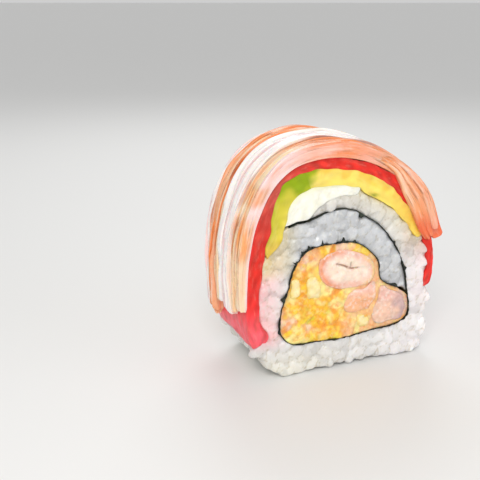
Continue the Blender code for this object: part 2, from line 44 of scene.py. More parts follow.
# Sizes are in millimetres: x across the cut face, z up from the foot, y the depth from the
# middle of the piece. The cut seen in the photograph lies at -HALF_DEPTH.
SECTION_MIDDLE = np.array((0.2367, 0.5527, 0.0))
HALF_DEPTH = 10.0
SHEET_SINK = 0.28
NORI_PATH = [(12.7, 15.5), (11.6, 16.0), (10.3, 16.6), (8.9, 17.5), (8.0, 18.9), (7.9, 21.0),
             (7.2, 22.6), (5.7, 24.2), (3.9, 25.6), (2.0, 26.5), (-0.8, 26.8), (-5.3, 26.8),
             (-8.1, 26.2), (-9.9, 24.8), (-11.2, 22.6), (-12.3, 19.4), (-13.2, 16.5),
             (-14.0, 12.9), (-14.1, 10.2), (-13.2, 8.4), (-11.6, 7.0), (-9.0, 6.6),
             (-4.4, 6.5), (0.2, 6.3), (3.8, 6.6), (7.6, 7.0), (11.0, 7.2), (13.6, 7.7),
             (15.2, 8.8), (15.6, 10.8), (15.3, 13.0), (14.9, 15.2), (14.3, 18.2),
             (13.3, 21.1), (12.0, 23.9), (10.3, 26.3), (8.6, 28.4), (6.6, 30.2), (4.4, 31.5),
             (1.8, 33.0), (-1.0, 33.7), (-4.0, 33.4), (-6.6, 32.6), (-8.8, 31.9),
             (-11.0, 31.7), (-12.7, 31.1)]
# Torn places on the sheet: section place, how far it stands out (in, if negative) and how long
# it is, in mm.
NORI_TEARS = [(-8.1, 26.4, 0.9, 0.26), (-5.4, 27.0, 1.2, 0.22), (-0.6, 27.0, 1.0, 0.22),
              (-10.7, 23.7, 1.5, 0.28), (-13.3, 16.6, 0.9, 0.4), (-14.2, 9.8, 0.5, 0.45),
              (3.3, 32.2, -0.8, 0.5), (11.4, 15.9, 0.6, 0.9), (13.9, 19.6, 0.4, 0.3),
              (10.9, 25.4, 0.4, 0.25), (-9.2, 25.4, 0.7, 0.2), (1.9, 26.6, 0.5, 0.2)]


def soft_line(points, step):
    """Line through given points: each stretch is a cubic whose end slopes are half the chord
    between the neighbours of its ends; the result is spaced evenly by length."""
    p = np.array(points, float)
    p = np.vstack((2 * p[0] - p[1], p, 2 * p[-1] - p[-2]))
    place = np.linspace(0, len(points) - 1, 40 * len(points))
    i = np.minimum(place.astype(int), len(points) - 2)
    t = (place - i)[:, None]
    a, b, c, d = p[i], p[i + 1], p[i + 2], p[i + 3]
    line = 0.5 * (2 * b + (c - a) * t + (2 * a - 5 * b + 4 * c - d) * t ** 2
                  + (3 * b - 3 * c + d - a) * t ** 3)
    return respaced(line, step)


def lengths_along(line):
    """Distance run along a line at each of its points."""
    return np.concatenate(([0.0], np.cumsum(np.hypot(*np.diff(line, axis=0).T))))


def respaced(line, step, count=None):
    """The same line with its points spaced evenly, about one step apart."""
    run = lengths_along(line)
    count = count or max(2, int(round(run[-1] / step)) + 1)
    even = np.linspace(0, run[-1], count)
    return np.column_stack([np.interp(even, run, line[:, k]) for k in (0, 1)])


def left_of(ahead):
    """Unit normals to the left of a line that runs ahead."""
    ahead = ahead / np.hypot(*ahead.T)[:, None]
    return np.column_stack((-ahead[:, 1], ahead[:, 0]))


def moved(line, distance):
    """A line moved to its left: each point plus the distance times the unit left normal."""
    return line + left_of(np.gradient(line, axis=0)) * np.reshape(distance, (-1, 1))


def ripple(points, size, seed, waves=14):
    """Smooth unevenness: the mean of sine waves in seeded directions, about one size long."""
    draw = np.random.default_rng(seed)
    points = np.atleast_2d(points)
    ways = draw.normal(size=(points.shape[1], waves))
    ways /= np.linalg.norm(ways, axis=0)
    ways *= 2 * np.pi / (size * draw.uniform(0.7, 1.6, waves))
    return np.sin(points @ ways + draw.uniform(0, 2 * np.pi, waves)).sum(1) / math.sqrt(waves / 2)


def step_up(value, low, high):
    """0 below low, 1 above high, and the smooth cubic 3t^2 - 2t^3 between."""
    t = np.clip((value - low) / (high - low), 0, 1)
    return t * t * (3 - 2 * t)


def mixed(base, other, amount):
    """Base colours with a share of another colour laid over them."""
    amount = np.reshape(amount, (-1, 1))
    return base * (1 - amount) + np.asarray(other) * amount


def closed_grid(rows, columns):
    """Quads between neighbouring rows of closed rings, and two fans that close the ends."""
    row = np.arange(rows - 1)[:, None] * columns
    here = np.arange(columns)[None, :]
    after = (here + 1) % columns
    quads = np.stack((row + here, row + after, row + after + columns, row + here + columns), -1)
    one = np.arange(columns)
    two = (one + 1) % columns
    last = (rows - 1) * columns
    first_fan = np.stack((two, one, np.full(columns, rows * columns)), -1)
    last_fan = np.stack((last + one, last + two, np.full(columns, rows * columns + 1)), -1)
    return quads.reshape(-1, 4), np.vstack((first_fan, last_fan))


def outward(points, quads, tris):
    """The same faces, turned round if the volume they enclose comes out negative."""
    both = np.vstack((quads[:, [0, 1, 2]], quads[:, [0, 2, 3]], tris))
    a, b, c = points[both[:, 0]], points[both[:, 1]], points[both[:, 2]]
    if np.einsum("ij,ij->i", a, np.cross(b, c)).sum() < 0:
        return quads[:, ::-1], tris[:, ::-1]
    return quads, tris


def bulged(points, quads, tris, amount):
    """Points moved along their normals, each normal the sum of its faces' cross products: for
    a quad of its diagonals, for a triangle of two of its sides."""
    normal = np.zeros_like(points)
    for faces, (a, b, c, d) in ((quads, (0, 2, 1, 3)), (tris, (0, 1, 0, 2))):
        over = np.cross(points[faces[:, b]] - points[faces[:, a]],
                        points[faces[:, d]] - points[faces[:, c]])
        for k in range(faces.shape[1]):
            np.add.at(normal, faces[:, k], over)
    normal /= np.maximum(np.linalg.norm(normal, axis=1), 1e-9)[:, None]
    return points + normal * np.reshape(amount, (-1, 1))


def cut_relief(points, amount):
    """Unevenness of the two cut faces: their depth changed by an amount, which fades to nothing
    between 0.5 and 0.9 mm from the piece's end."""
    uneven = points.copy()
    near_cut = step_up(np.abs(points[:, 1]), HALF_DEPTH - 0.9, HALF_DEPTH - 0.5)
    uneven[:, 1] += np.sign(points[:, 1]) * amount * near_cut
    return uneven


def rounded_ring(across, deep, corner=3):
    """A corner-rounded rectangle in two rows of complex numbers: the part that grows with the
    flat half sides, and the part that grows with the corner radius."""
    turn = np.exp(1j * np.linspace(0, np.pi / 2, corner + 2)[1:-1])
    flat, out = [], []
    for k in range(4):
        start, way = (-1 - 1j) * 1j ** k, -1j * 1j ** k
        side = start + 2 * 1j ** k * np.linspace(0, 1, across if k % 2 == 0 else deep)
        flat += [side, np.full(corner, start + 2 * 1j ** k)]
        out += [np.full(len(side), way), way * turn]
    return np.concatenate(flat), np.concatenate(out)


def band(inner, outer, near, far, corner, across, deep, end_round, lean=0.0, blunt=0.3):
    """A layer between two section lines: middle line + (outer - inner) times A + depth times B,
    with (A, B) going round a corner-rounded rectangle. Its ends shrink on a quarter circle and
    close on a point. Gives points, faces and, at each point, its lay: along, across and depth."""
    middle, reach = (inner + outer) / 2, outer - inner
    thick = np.maximum(np.hypot(*reach.T), 0.02)
    toward = reach / thick[:, None]
    run = lengths_along(middle)
    close = np.clip(np.minimum(run, run[-1] - run) / end_round, 0, 1)
    shrink = blunt + (1 - blunt) * np.sqrt(1 - (1 - close) ** 2)
    near, far = np.broadcast_to(near, run.shape), np.broadcast_to(far, run.shape)
    half = (far - near) / 2 - 0.5 * end_round * (1 - shrink)
    radius = np.minimum(corner, 0.46 * np.minimum(thick * shrink, 2 * half))
    flat, out = rounded_ring(across, deep)
    a = flat.real * (thick * shrink / 2 - radius)[:, None] + out.real * radius[:, None]
    b = flat.imag * (half - radius)[:, None] + out.imag * radius[:, None]
    a = a + np.reshape(lean, (-1, 1)) * (b / half[:, None]) * (a / thick[:, None] + 0.5)
    y = ((near + far) / 2)[:, None] + b
    x = middle[:, :1] + toward[:, :1] * a
    z = middle[:, 1:] + toward[:, 1:] * a
    points = np.stack((x, y, z), -1).reshape(-1, 3)
    ends = np.array([[middle[k, 0], (near[k] + far[k]) / 2, middle[k, 1]] for k in (0, -1)])
    height = (a / thick[:, None] + 0.5).reshape(-1)
    lay = np.stack((np.broadcast_to(run[:, None], a.shape), a, y), -1).reshape(-1, 3)
    lay = np.vstack((lay, [[run[0], 0, ends[0, 1]], [run[-1], 0, ends[1, 1]]]))
    points = np.vstack((points, ends))
    quads, tris = outward(points, *closed_grid(len(inner), a.shape[1]))
    return points, quads, tris, lay, np.append(height, (0.5, 0.5))


def food_piece(name, shells, material, nodes, sharp=60.0):
    """One piece from closed shells given in section millimetres: points, quads, triangles,
    tints and lays. A tint's fourth value is the share of flecks. It rides on the roll and
    stands for the CAD nodes named."""
    start, points, faces, tints, lays = 0, [], [], [], []
    for shell_points, quads, tris, tint, lay in shells:
        points.append(shell_points)
        faces += (quads + start).tolist() + (tris + start).tolist()
        colour = np.ones((len(shell_points), 4))
        colour[:, :np.shape(tint)[-1]] = tint
        tints.append(colour)
        lays.append(lay)
        start += len(shell_points)
    points = (np.vstack(points) + SECTION_MIDDLE) * MM
    mesh = bpy.data.meshes.new(name)
    mesh.from_pydata(points.tolist(), [], faces)
    tint = np.clip(np.vstack(tints), 0, 1)
    mesh.attributes.new("tint", "FLOAT_COLOR", "POINT").data.foreach_set("color", tint.ravel())
    lay = np.vstack(lays).ravel()
    mesh.attributes.new("lay", "FLOAT_VECTOR", "POINT").data.foreach_set("vector", lay)
    mesh.shade_smooth()
    mesh.set_sharp_from_angle(angle=math.radians(sharp))
    mesh.materials.append(material)
    piece = bpy.data.objects.new(name, mesh)
    bpy.context.scene.collection.objects.link(piece)
    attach(piece, "root")
    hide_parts(*nodes)


def node_group(name, inputs, outputs):
    """An empty shader group with named number, vector or colour sockets."""
    group = bpy.data.node_groups.new(name, "ShaderNodeTree")
    for word, kind, value in inputs:
        socket = group.interface.new_socket(word, in_out="INPUT", socket_type="NodeSocket" + kind)
        if value is not None:
            socket.default_value = value
    for word, kind in outputs:
        group.interface.new_socket(word, in_out="OUTPUT", socket_type="NodeSocket" + kind)
    return group, group.nodes.new("NodeGroupInput"), group.nodes.new("NodeGroupOutput")


def node(tree, kind, links=(), **values):
    """A node with its values set by socket name and its inputs joined to other sockets."""
    made = tree.nodes.new("ShaderNode" + kind)
    for word, value in values.items():
        word = word.replace("_", " ")
        if word in made.inputs:
            made.inputs[word].default_value = value
        else:
            setattr(made, word.replace(" ", "_"), value)
    for target, source in dict(links).items():
        tree.links.new(source, made.inputs[target])
    return made


def moist_film():
    """Moisture on cut food: fine noise in object space gives a patchy roughness and a low
    relief of wet beads."""
    group, given, out = node_group("Moist film",
                                   [("Beads per mm", "Float", 2.0), ("Driest", "Float", 0.5),
                                    ("Wettest", "Float", 0.25)],
                                   [("Roughness", "Float"), ("Height", "Float")])
    place = node(group, "TexCoord").outputs["Object"]
    size = node(group, "Math", {0: given.outputs["Beads per mm"]}, operation="MULTIPLY")
    size.inputs[1].default_value = 1000.0
    patches = node(group, "TexNoise", {"Vector": place}, Scale=420.0, Detail=2.0)
    beads = node(group, "TexNoise", {"Vector": place, "Scale": size.outputs[0]}, Detail=3.0, Roughness=0.6)
    range_node = node(group, "MapRange", {"Value": patches.outputs["Fac"],
                                          "To Min": given.outputs["Wettest"],
                                          "To Max": given.outputs["Driest"]})
    range_node.inputs["From Min"].default_value = 0.35
    range_node.inputs["From Max"].default_value = 0.65
    group.links.new(range_node.outputs[0], out.inputs["Roughness"])
    group.links.new(beads.outputs["Fac"], out.inputs["Height"])
    return group


def fleck_group():
    """Colour flecks: noise in the piece's own lay, stretched along it, cut to a soft mask."""
    group, given, out = node_group("Flecks along the lay",
                                   [("Lay", "Vector", None), ("Stretch", "Float", 1.0),
                                    ("Per mm", "Float", 2.0), ("Low", "Float", 0.5),
                                    ("High", "Float", 0.7)],
                                   [("Mask", "Float"), ("Height", "Float")])
    parts = node(group, "SeparateXYZ", {0: given.outputs["Lay"]})
    along = node(group, "Math", {0: parts.outputs[0], 1: given.outputs["Stretch"]}, operation="DIVIDE")
    joined = node(group, "CombineXYZ", {0: along.outputs[0], 1: parts.outputs[1], 2: parts.outputs[2]})
    noise = node(group, "TexNoise", {"Vector": joined.outputs[0], "Scale": given.outputs["Per mm"]},
                 Detail=3.0, Roughness=0.55)
    mask = node(group, "MapRange", {"Value": noise.outputs["Fac"], "From Min": given.outputs["Low"],
                                    "From Max": given.outputs["High"]})
    group.links.new(mask.outputs[0], out.inputs["Mask"])
    group.links.new(noise.outputs["Fac"], out.inputs["Height"])
    return group


FILM, FLECKS = moist_film(), fleck_group()


def food_material(name, fleck_colours, beads, dry, wet, relief, under=0.0, under_scale=1.0,
                  under_radius=(1.0, 0.5, 0.3), coat=0.0, coat_rough=0.2, specular=0.5):
    """A food's surface: its tint with flecks laid over it, patchy moisture, low relief, and
    light scattered under the skin. Each fleck is colour, strength, stretch, per mm, low, high."""
    made = bpy.data.materials.new(name)
    made.use_nodes = True
    tree = made.node_tree
    shader = tree.nodes["Principled BSDF"]
    lay = node(tree, "Attribute", attribute_name="lay").outputs["Vector"]
    tinted = node(tree, "Attribute", attribute_name="tint")
    colour, height = tinted.outputs["Color"], None
    for fleck, strength, stretch, per_mm, low, high in fleck_colours:
        mask = node(tree, "Group", node_tree=FLECKS)
        tree.links.new(lay, mask.inputs["Lay"])
        for word, value in (("Stretch", stretch), ("Per mm", per_mm), ("Low", low), ("High", high)):
            mask.inputs[word].default_value = value
        share = node(tree, "Math", {0: mask.outputs["Mask"]}, operation="MULTIPLY")
        share.inputs[1].default_value = strength
        kept = node(tree, "Math", {0: share.outputs[0], 1: tinted.outputs["Alpha"]}, operation="MULTIPLY")
        mix = node(tree, "MixRGB", {"Fac": kept.outputs[0], "Color1": colour})
        mix.inputs["Color2"].default_value = (*fleck, 1.0)
        colour = mix.outputs[0]
        height = height or mask.outputs["Height"]
    tree.links.new(colour, shader.inputs["Base Color"])
    film = node(tree, "Group", node_tree=FILM)
    for word, value in (("Beads per mm", beads), ("Driest", dry), ("Wettest", wet)):
        film.inputs[word].default_value = value
    tree.links.new(film.outputs["Roughness"], shader.inputs["Roughness"])
    low_bump = node(tree, "Bump", {"Height": film.outputs["Height"]}, Strength=1.0, Distance=relief[0] * MM)
    if height is not None and relief[1] > 0:
        low_bump = node(tree, "Bump", {"Height": height, "Normal": low_bump.outputs[0]},
                        Strength=1.0, Distance=relief[1] * MM)
    tree.links.new(low_bump.outputs[0], shader.inputs["Normal"])
    for word, value in (("Subsurface Weight", under), ("Subsurface Scale", under_scale * MM),
                        ("Subsurface Radius", under_radius), ("Coat Weight", coat),
                        ("Coat Roughness", coat_rough), ("Specular IOR Level", specular)):
        shader.inputs[word].default_value = value
    return made


nori_line = soft_line(NORI_PATH, 0.16)
nori_run = lengths_along(nori_line)
flat_run = np.column_stack((nori_run, np.zeros_like(nori_run)))
nori_out = 0.03 + 0.08 * np.maximum(ripple(flat_run, 4.0, 11), 0.0) + 0.012 * ripple(flat_run, 0.8, 12)
nori_in = 0.045 + 0.012 * ripple(flat_run, 1.7, 13)
for tear_x, tear_z, tear_out, tear_long in NORI_TEARS:
    nearest = np.argmin(np.hypot(nori_line[:, 0] - tear_x, nori_line[:, 1] - tear_z))
    tear = tear_out * np.exp(-((nori_run - nori_run[nearest]) / tear_long) ** 2)
    nori_out, nori_in = nori_out + np.maximum(tear, 0), nori_in + np.maximum(-tear, 0)
nori_near = -HALF_DEPTH + SHEET_SINK + 0.07 * ripple(flat_run, 1.3, 14) + 0.08 * ripple(flat_run, 6.0, 15)
nori_far = HALF_DEPTH - SHEET_SINK + 0.07 * ripple(flat_run, 1.4, 16) + 0.08 * ripple(flat_run, 5.0, 17)
points, quads, tris, lay, height = band(moved(nori_line, nori_in), moved(nori_line, -nori_out),
                                        nori_near, nori_far, corner=0.05, across=2, deep=6,
                                        end_round=0.3)
nori_material = food_material("nori_sheet", [((0.035, 0.05, 0.03), 0.8, 3.0, 1.5, 0.45, 0.7)],
                              beads=3.0, dry=0.62, wet=0.38, relief=(0.05, 0.10), specular=0.4)
food_piece("nori_sheet", [(points, quads, tris, np.array((0.007, 0.010, 0.007)), lay)],
           nori_material, ["nori"])

# Rice.
# Short-grain cooked rice, pressed in a layer on the nori so that the sheet rolls up inside it.
# A packed core carries sticky grains on both cuts, round the foot and underneath.
TUNA_INSIDE = [(-17.2, 8.1), (-16.8, 9.8), (-18.1, 11.8), (-18.6, 15.0), (-18.5, 19.6),
               (-18.1, 23.6), (-17.4, 26.6), (-16.4, 31.5), (-15.4, 36.2), (-13.2, 40.0),
               (-9.4, 41.5), (-5.0, 41.8), (0.2, 41.2), (5.6, 39.5), (9.6, 37.2),
               (12.8, 34.0), (15.6, 30.0), (17.6, 26.4), (19.0, 22.6), (19.5, 19.0),
               (19.1, 16.0), (18.7, 14.6)]
AVOCADO_INSIDE = [(-16.9, 25.6), (-15.6, 26.8), (-14.2, 28.2), (-13.3, 31.2), (-12.7, 34.6),
                  (-11.0, 37.2), (-8.1, 38.2), (-3.1, 38.5), (0.2, 38.1), (2.9, 36.9),
                  (5.0, 35.7), (8.2, 34.0), (11.0, 32.0), (13.4, 29.6), (15.2, 27.2),
                  (16.7, 26.0)]
CHEESE_BASE = [(-13.1, 31.5), (-11.0, 32.2), (-8.6, 32.4), (-7.2, 33.6), (-4.4, 35.5),
               (-2.0, 36.2), (0.4, 36.3), (1.9, 36.2)]
RICE_FLOOR = [(20.0, 14.5), (20.5, 12.6), (19.6, 10.6), (19.2, 9.4), (19.8, 7.6), (19.7, 5.0),
              (19.0, 2.4), (17.8, 0.8), (16.4, 0.0), (-11.2, 0.0), (-13.4, 0.9), (-15.4, 2.7),
              (-16.9, 4.6), (-18.0, 5.7), (-19.3, 6.5)]
RICE_PEARL = np.array((0.71, 0.70, 0.69))
RICE_WARM = np.array((0.78, 0.76, 0.66))
RICE_BRIGHT = np.array((0.88, 0.84, 0.85))
RICE_ROSE = np.array((0.90, 0.52, 0.53))
RICE_STRAW = np.array((0.60, 0.53, 0.32))
# Colour of the painted shade in the creases between grains.
RICE_CREASE_SHADE = (0.74, 0.68, 0.55)
RICE_BLUE, RICE_GOLD = np.array((0.54, 0.56, 0.59)), np.array((0.80, 0.57, 0.20))
GRAIN_LENGTH, GRAIN_WIDTH, GRAIN_FLATNESS = 5.2, 2.4, 0.92
CORE_SINK, GRAIN_CUBE, FLANK_ROWS = 0.85, 0.308, 7
SHEET_ROOM, SHEET_WALL, SHEET_CLEAR = 0.36, 0.54, 0.045


def stretch_of(line, low, high):
    """The part of a line between its points nearest to two given places."""
    first, last = (int(np.argmin(np.hypot(*(line - np.array(p)).T))) for p in (low, high))
    return line[first:last + 1]


def closed(loop):
    """A line through a loop's points and back to its first one."""
    return np.vstack((loop, loop[:1]))


def within(places, loop):
    """Even-odd rule: True where a ray to the right crosses the closed line an odd number of times."""
    p, q = loop[None], np.roll(loop, -1, axis=0)[None]
    x, z = places[:, :1], places[:, 1:2]
    crosses = (p[..., 1] > z) != (q[..., 1] > z)
    rise = np.where(q[..., 1] == p[..., 1], 1e-9, q[..., 1] - p[..., 1])
    where = p[..., 0] + (z - p[..., 1]) * (q[..., 0] - p[..., 0]) / rise
    return ((x < where) & crosses).sum(1) % 2 == 1


def distance_to(places, line):
    """Shortest distance from each place to a line, measured to its nearest stretch."""
    p, along = line[:-1][None], np.diff(line, axis=0)[None]
    t = ((places[:, None] - p) * along).sum(-1) / np.maximum((along ** 2).sum(-1), 1e-9)
    nearest = p + np.clip(t, 0, 1)[..., None] * along
    return np.sqrt(((places[:, None] - nearest) ** 2).sum(-1)).min(1)


def core_of(loop, sink):
    """A closed section line carried straight through the piece, a sink short of each cut: side
    walls, and two flat ends cut into triangles."""
    count = len(loop)
    points = np.array([(x, y, z) for y in (sink - HALF_DEPTH, HALF_DEPTH - sink) for x, z in loop])
    here = np.arange(count)
    after = (here + 1) % count
    quads = np.stack((here, after, after + count, here + count), -1).tolist()
    mesh = bpy.data.meshes.new("section")
    mesh.from_pydata(points.tolist(), [], quads + [list(range(count))[::-1], list(range(count, 2 * count))])
    mesh.calc_loop_triangles()
    triangles = np.empty(len(mesh.loop_triangles) * 3, np.int32)
    mesh.loop_triangles.foreach_get("vertices", triangles)
    bpy.data.meshes.remove(mesh)
    return (points,) + outward(points, np.empty((0, 4), int), triangles.reshape(-1, 3))


def ball(sides, rings, blunt):
    """A ball on a grid of rings from pole to pole: x = cos t, radius = sin t to a power."""
    t = np.linspace(0, np.pi, rings + 2)[1:-1]
    turn = np.linspace(0, 2 * np.pi, sides, endpoint=False)
    radius = np.sin(t)[:, None] ** blunt
    x = np.broadcast_to(np.cos(t)[:, None], (rings, sides))
    points = np.stack((x, radius * np.cos(turn), radius * np.sin(turn)), -1).reshape(-1, 3)
    points = np.vstack((points, ((1, 0, 0), (-1, 0, 0))))
    return (points,) + outward(points, *closed_grid(rings, sides))


def scattered(shape, quads, tris, sizes, frames, places):
    """Copies of one shape, each stretched by its own size, turned into its own axes and moved."""
    bodies = np.einsum("nvk,nkj->nvj", shape * (sizes[:, None] / 2), frames) + places[:, None]
    count, each = len(places), shape.shape[-2]
    shift = (np.arange(count) * each)[:, None, None]
    return bodies, (quads[None] + shift).reshape(-1, 4), (tris[None] + shift).reshape(-1, 3)


def axes_from(along, facing):
    """Three axes for each body: its length, then the way it faces made square to it, then both."""
    along = along / np.linalg.norm(along, axis=1)[:, None]
    facing = facing - along * (facing * along).sum(1)[:, None]
    facing = facing / np.linalg.norm(facing, axis=1)[:, None]
    return np.stack((along, np.cross(facing, along), facing), 1)


def spread(draw, low, high, allowed, apart, tries):
    """Seeded places in a box, kept where allowed and no nearer to each other than apart."""
    spots = draw.uniform(low, high, (tries, 2))
    spots = spots[allowed(spots)]
    chosen = np.empty((0, 2))
    for spot in spots:
        if not len(chosen) or np.hypot(*(chosen - spot).T).min() > apart:
            chosen = np.vstack((chosen, spot))
    return chosen


def wavy(line):
    """A line moved by a slow ripple of its own place, the same for every layer, so that
    neighbours still meet."""
    return line + 0.13 * np.column_stack((ripple(line, 3.2, 3), ripple(line, 3.2, 4)))


def nearest_on(line, flat):
    """For each place, the number of the line's nearest point, taken a few thousand at a time."""
    return np.concatenate([np.argmin(((flat[k:k + 4000, None] - line[None]) ** 2).sum(-1), 1)
                           for k in range(0, len(flat), 4000)])


def own_side(bodies, centres, line, clear):
    """Points of a body that pass the line, or come nearer than clear, are set back to clear on
    the side of the line where the centre of the body lies."""
    flat = bodies[..., [0, 2]].reshape(-1, 2)
    centre = np.repeat(centres[:, [0, 2]], bodies.shape[1], axis=0)
    nearest = nearest_on(line, flat)
    left = left_of(np.gradient(line, axis=0))[nearest]
    away = ((flat - line[nearest]) * left).sum(1)
    side = np.sign(((centre - line[nearest]) * left).sum(1))
    near_sheet = np.hypot(*(flat - line[nearest]).T) < 3.0
    near_sheet &= (nearest > 0) & (nearest < len(line) - 1)
    short = np.maximum(clear - away * side, 0) * near_sheet
    kept = bodies.copy()
    kept[..., [0, 2]] = (flat + left * (side * short)[:, None]).reshape(bodies.shape[:2] + (2,))
    return kept


tuna_inside = wavy(soft_line(TUNA_INSIDE, 0.5))
avocado_inside = wavy(soft_line(AVOCADO_INSIDE, 0.5))
cheese_base = wavy(soft_line(CHEESE_BASE, 0.5))
rice_floor = np.array(RICE_FLOOR)
rice_left = stretch_of(tuna_inside, (-17.2, 8.1), (-17.4, 26.6))
rice_under_left = stretch_of(avocado_inside, (-16.9, 25.6), (-13.3, 31.2))
rice_under_right = stretch_of(avocado_inside, (2.9, 36.9), (16.7, 26.0))
rice_right = stretch_of(tuna_inside, (17.6, 26.4), (18.7, 14.6))
rice_loop = np.vstack((rice_left, rice_under_left, cheese_base[1:], rice_under_right, rice_right,
                       rice_floor, [(-19.6, 6.9)]))
turn_end = int(np.argmin(np.hypot(*(nori_line - np.array((15.3, 13.0))).T)[len(nori_line) // 3:])) \
    + len(nori_line) // 3
filling_loop = np.vstack((respaced(nori_line[:turn_end + 1], 0.7), [(14.7, 14.0), (13.8, 14.9)]))

# The core's section is one long strip: round the outside, back along the sheet, and out again.
outer_side = respaced(moved(nori_line, -0.37), 0.6)
inner_side = respaced(moved(nori_line, 0.37)[turn_end:], 0.6)
around = np.vstack((rice_left, rice_under_left[:-1]))
over_top = np.vstack((cheese_base[1:], rice_under_right, rice_right, rice_floor, [(-19.6, 6.9)]))
core_loop = np.vstack((over_top, around, inner_side[::-1], [(14.4, 14.6), (13.6, 15.4)],
                       outer_side[1:-1]))
core_loop[:, 1] = np.maximum(core_loop[:, 1], 0.7)


def fused(shells, cube):
    """Shells melted into one skin: the outside of their union taken on small cubes, with each
    point then moved half of the way to the mean of its neighbours."""
    points = np.vstack([shell[0] for shell in shells])
    start, faces = 0, []
    for shell_points, quads, tris in shells:
        faces += (quads + start).tolist() + (tris + start).tolist()
        start += len(shell_points)
    mesh = bpy.data.meshes.new("skin")
    mesh.from_pydata(points.tolist(), [], faces)
    holder = bpy.data.objects.new("skin", mesh)
    bpy.context.scene.collection.objects.link(holder)
    cubes = holder.modifiers.new("Cubes", "REMESH")
    cubes.mode, cubes.voxel_size = "VOXEL", cube
    easing = holder.modifiers.new("Relax", "SMOOTH")
    easing.factor, easing.iterations = 0.5, 1
    skin = holder.evaluated_get(bpy.context.evaluated_depsgraph_get()).to_mesh()
    made = np.empty(len(skin.vertices) * 3, np.float32)
    skin.vertices.foreach_get("co", made)
    corners = np.empty(len(skin.loops), np.int32)
    skin.loops.foreach_get("vertex_index", corners)
    bpy.data.objects.remove(holder, do_unlink=True)
    bpy.data.meshes.remove(mesh)
    return made.reshape(-1, 3).astype(float), corners.reshape(-1, 4), np.empty((0, 3), int)


def shared_colours(points, places, frames, sizes, colours, soft):
    """Each point's colour and how deep it lies in one body: bodies weighed by exp(-(e - least e)
    / soft), where e is the squared distance in the body's own axes and half sizes."""
    ways = frames / (sizes[:, :, None] / 2)
    offset = np.einsum("nkj,nj->nk", ways, places).reshape(-1)
    ways = ways.reshape(-1, 3)
    made, depth = np.empty((len(points), 3)), np.empty(len(points))
    for start in range(0, len(points), 3000):
        far = ((points[start:start + 3000] @ ways.T - offset) ** 2).reshape(-1, len(places), 3).sum(-1)
        weight = np.exp(-(far - far.min(1)[:, None]) / soft)
        total = weight.sum(1)
        made[start:start + 3000] = weight @ colours / total[:, None]
        depth[start:start + 3000] = 1 / total
    return made, depth


def kept_under(points, line):
    """Points that stand past the line to its left are set back to it."""
    flat = points[:, [0, 2]]
    nearest = nearest_on(line, flat)
    left = left_of(np.gradient(line, axis=0))[nearest]
    past = ((flat - line[nearest]) * left).sum(1)
    past = np.where((nearest > 1) & (nearest < len(line) - 2), np.maximum(past, 0), 0)
    kept = points.copy()
    kept[:, [0, 2]] -= left * past[:, None]
    return kept


def rice_tint(places):
    """Rice takes rose from the tuna and straw from the avocado near them. The inner crescent is
    bluish, and the right side and the foot are the whitest."""
    tuna = distance_to(places, tuna_inside)
    green = distance_to(places, avocado_inside)
    outer_turn = nori_line[turn_end:][::6]
    inside_turn = within(places, np.vstack((outer_turn, [(-13.0, 24.0)], nori_line[:turn_end][::-6])))
    x, z = places.T
    side = step_up(np.abs(x), 11.5, 14.5) * step_up(z, 5.5, 9.0) * np.where(x < 0, 1.0, 0.55)
    corner = np.exp(-((x + 17.2) ** 2 + (z - 24.2) ** 2) / 4.5)
    colour = RICE_PEARL
    for other, amount in ((RICE_WARM, 0.7 * step_up(z, 7.0, 2.0) * step_up(x, 4.0, -12.0)),
                          (RICE_ROSE, 0.95 * side * np.exp(-np.maximum(tuna - 0.8, 0) / 3.2)),
                          (RICE_STRAW, 0.8 * np.exp(-green / 2.4) * step_up(z, 19.0, 24.0)),
                          (RICE_GOLD, 0.75 * corner),
                          (RICE_STRAW, 0.55 * step_up(z, 20.0, 23.5) * step_up(x, -9.0, -14.0)),
                          (RICE_BRIGHT, 0.75 * step_up(x, 7.0, 14.0) * step_up(z, 24.0, 18.0)),
                          (RICE_BLUE, 0.85 * inside_turn * step_up(x, -13.0, -9.0))):
        colour = mixed(colour, other, amount)
    return colour


draw = np.random.default_rng(20)
grain_shape, grain_quads, grain_tris = ball(sides=8, rings=5, blunt=0.72)
grain_shape = grain_shape + np.column_stack((np.zeros(len(grain_shape)), 0.22 * grain_shape[:, 0] ** 2,
                                             np.zeros(len(grain_shape))))
sheet_near = nori_line[::4]
layer_lines = np.vstack((nori_line[::8], tuna_inside))
layer_ways = np.vstack((np.gradient(nori_line[::8], axis=0), np.gradient(tuna_inside, axis=0)))


def rice_allows(margin):
    """A test for grain centres: inside the rice, off the sheet and outside the filling."""
    def test(spots):
        ok = within(spots, rice_loop) & ~within(spots, filling_loop)
        ok &= distance_to(spots, sheet_near) > margin
        return ok & (distance_to(spots, closed(rice_loop)) > 0.55)
    return test


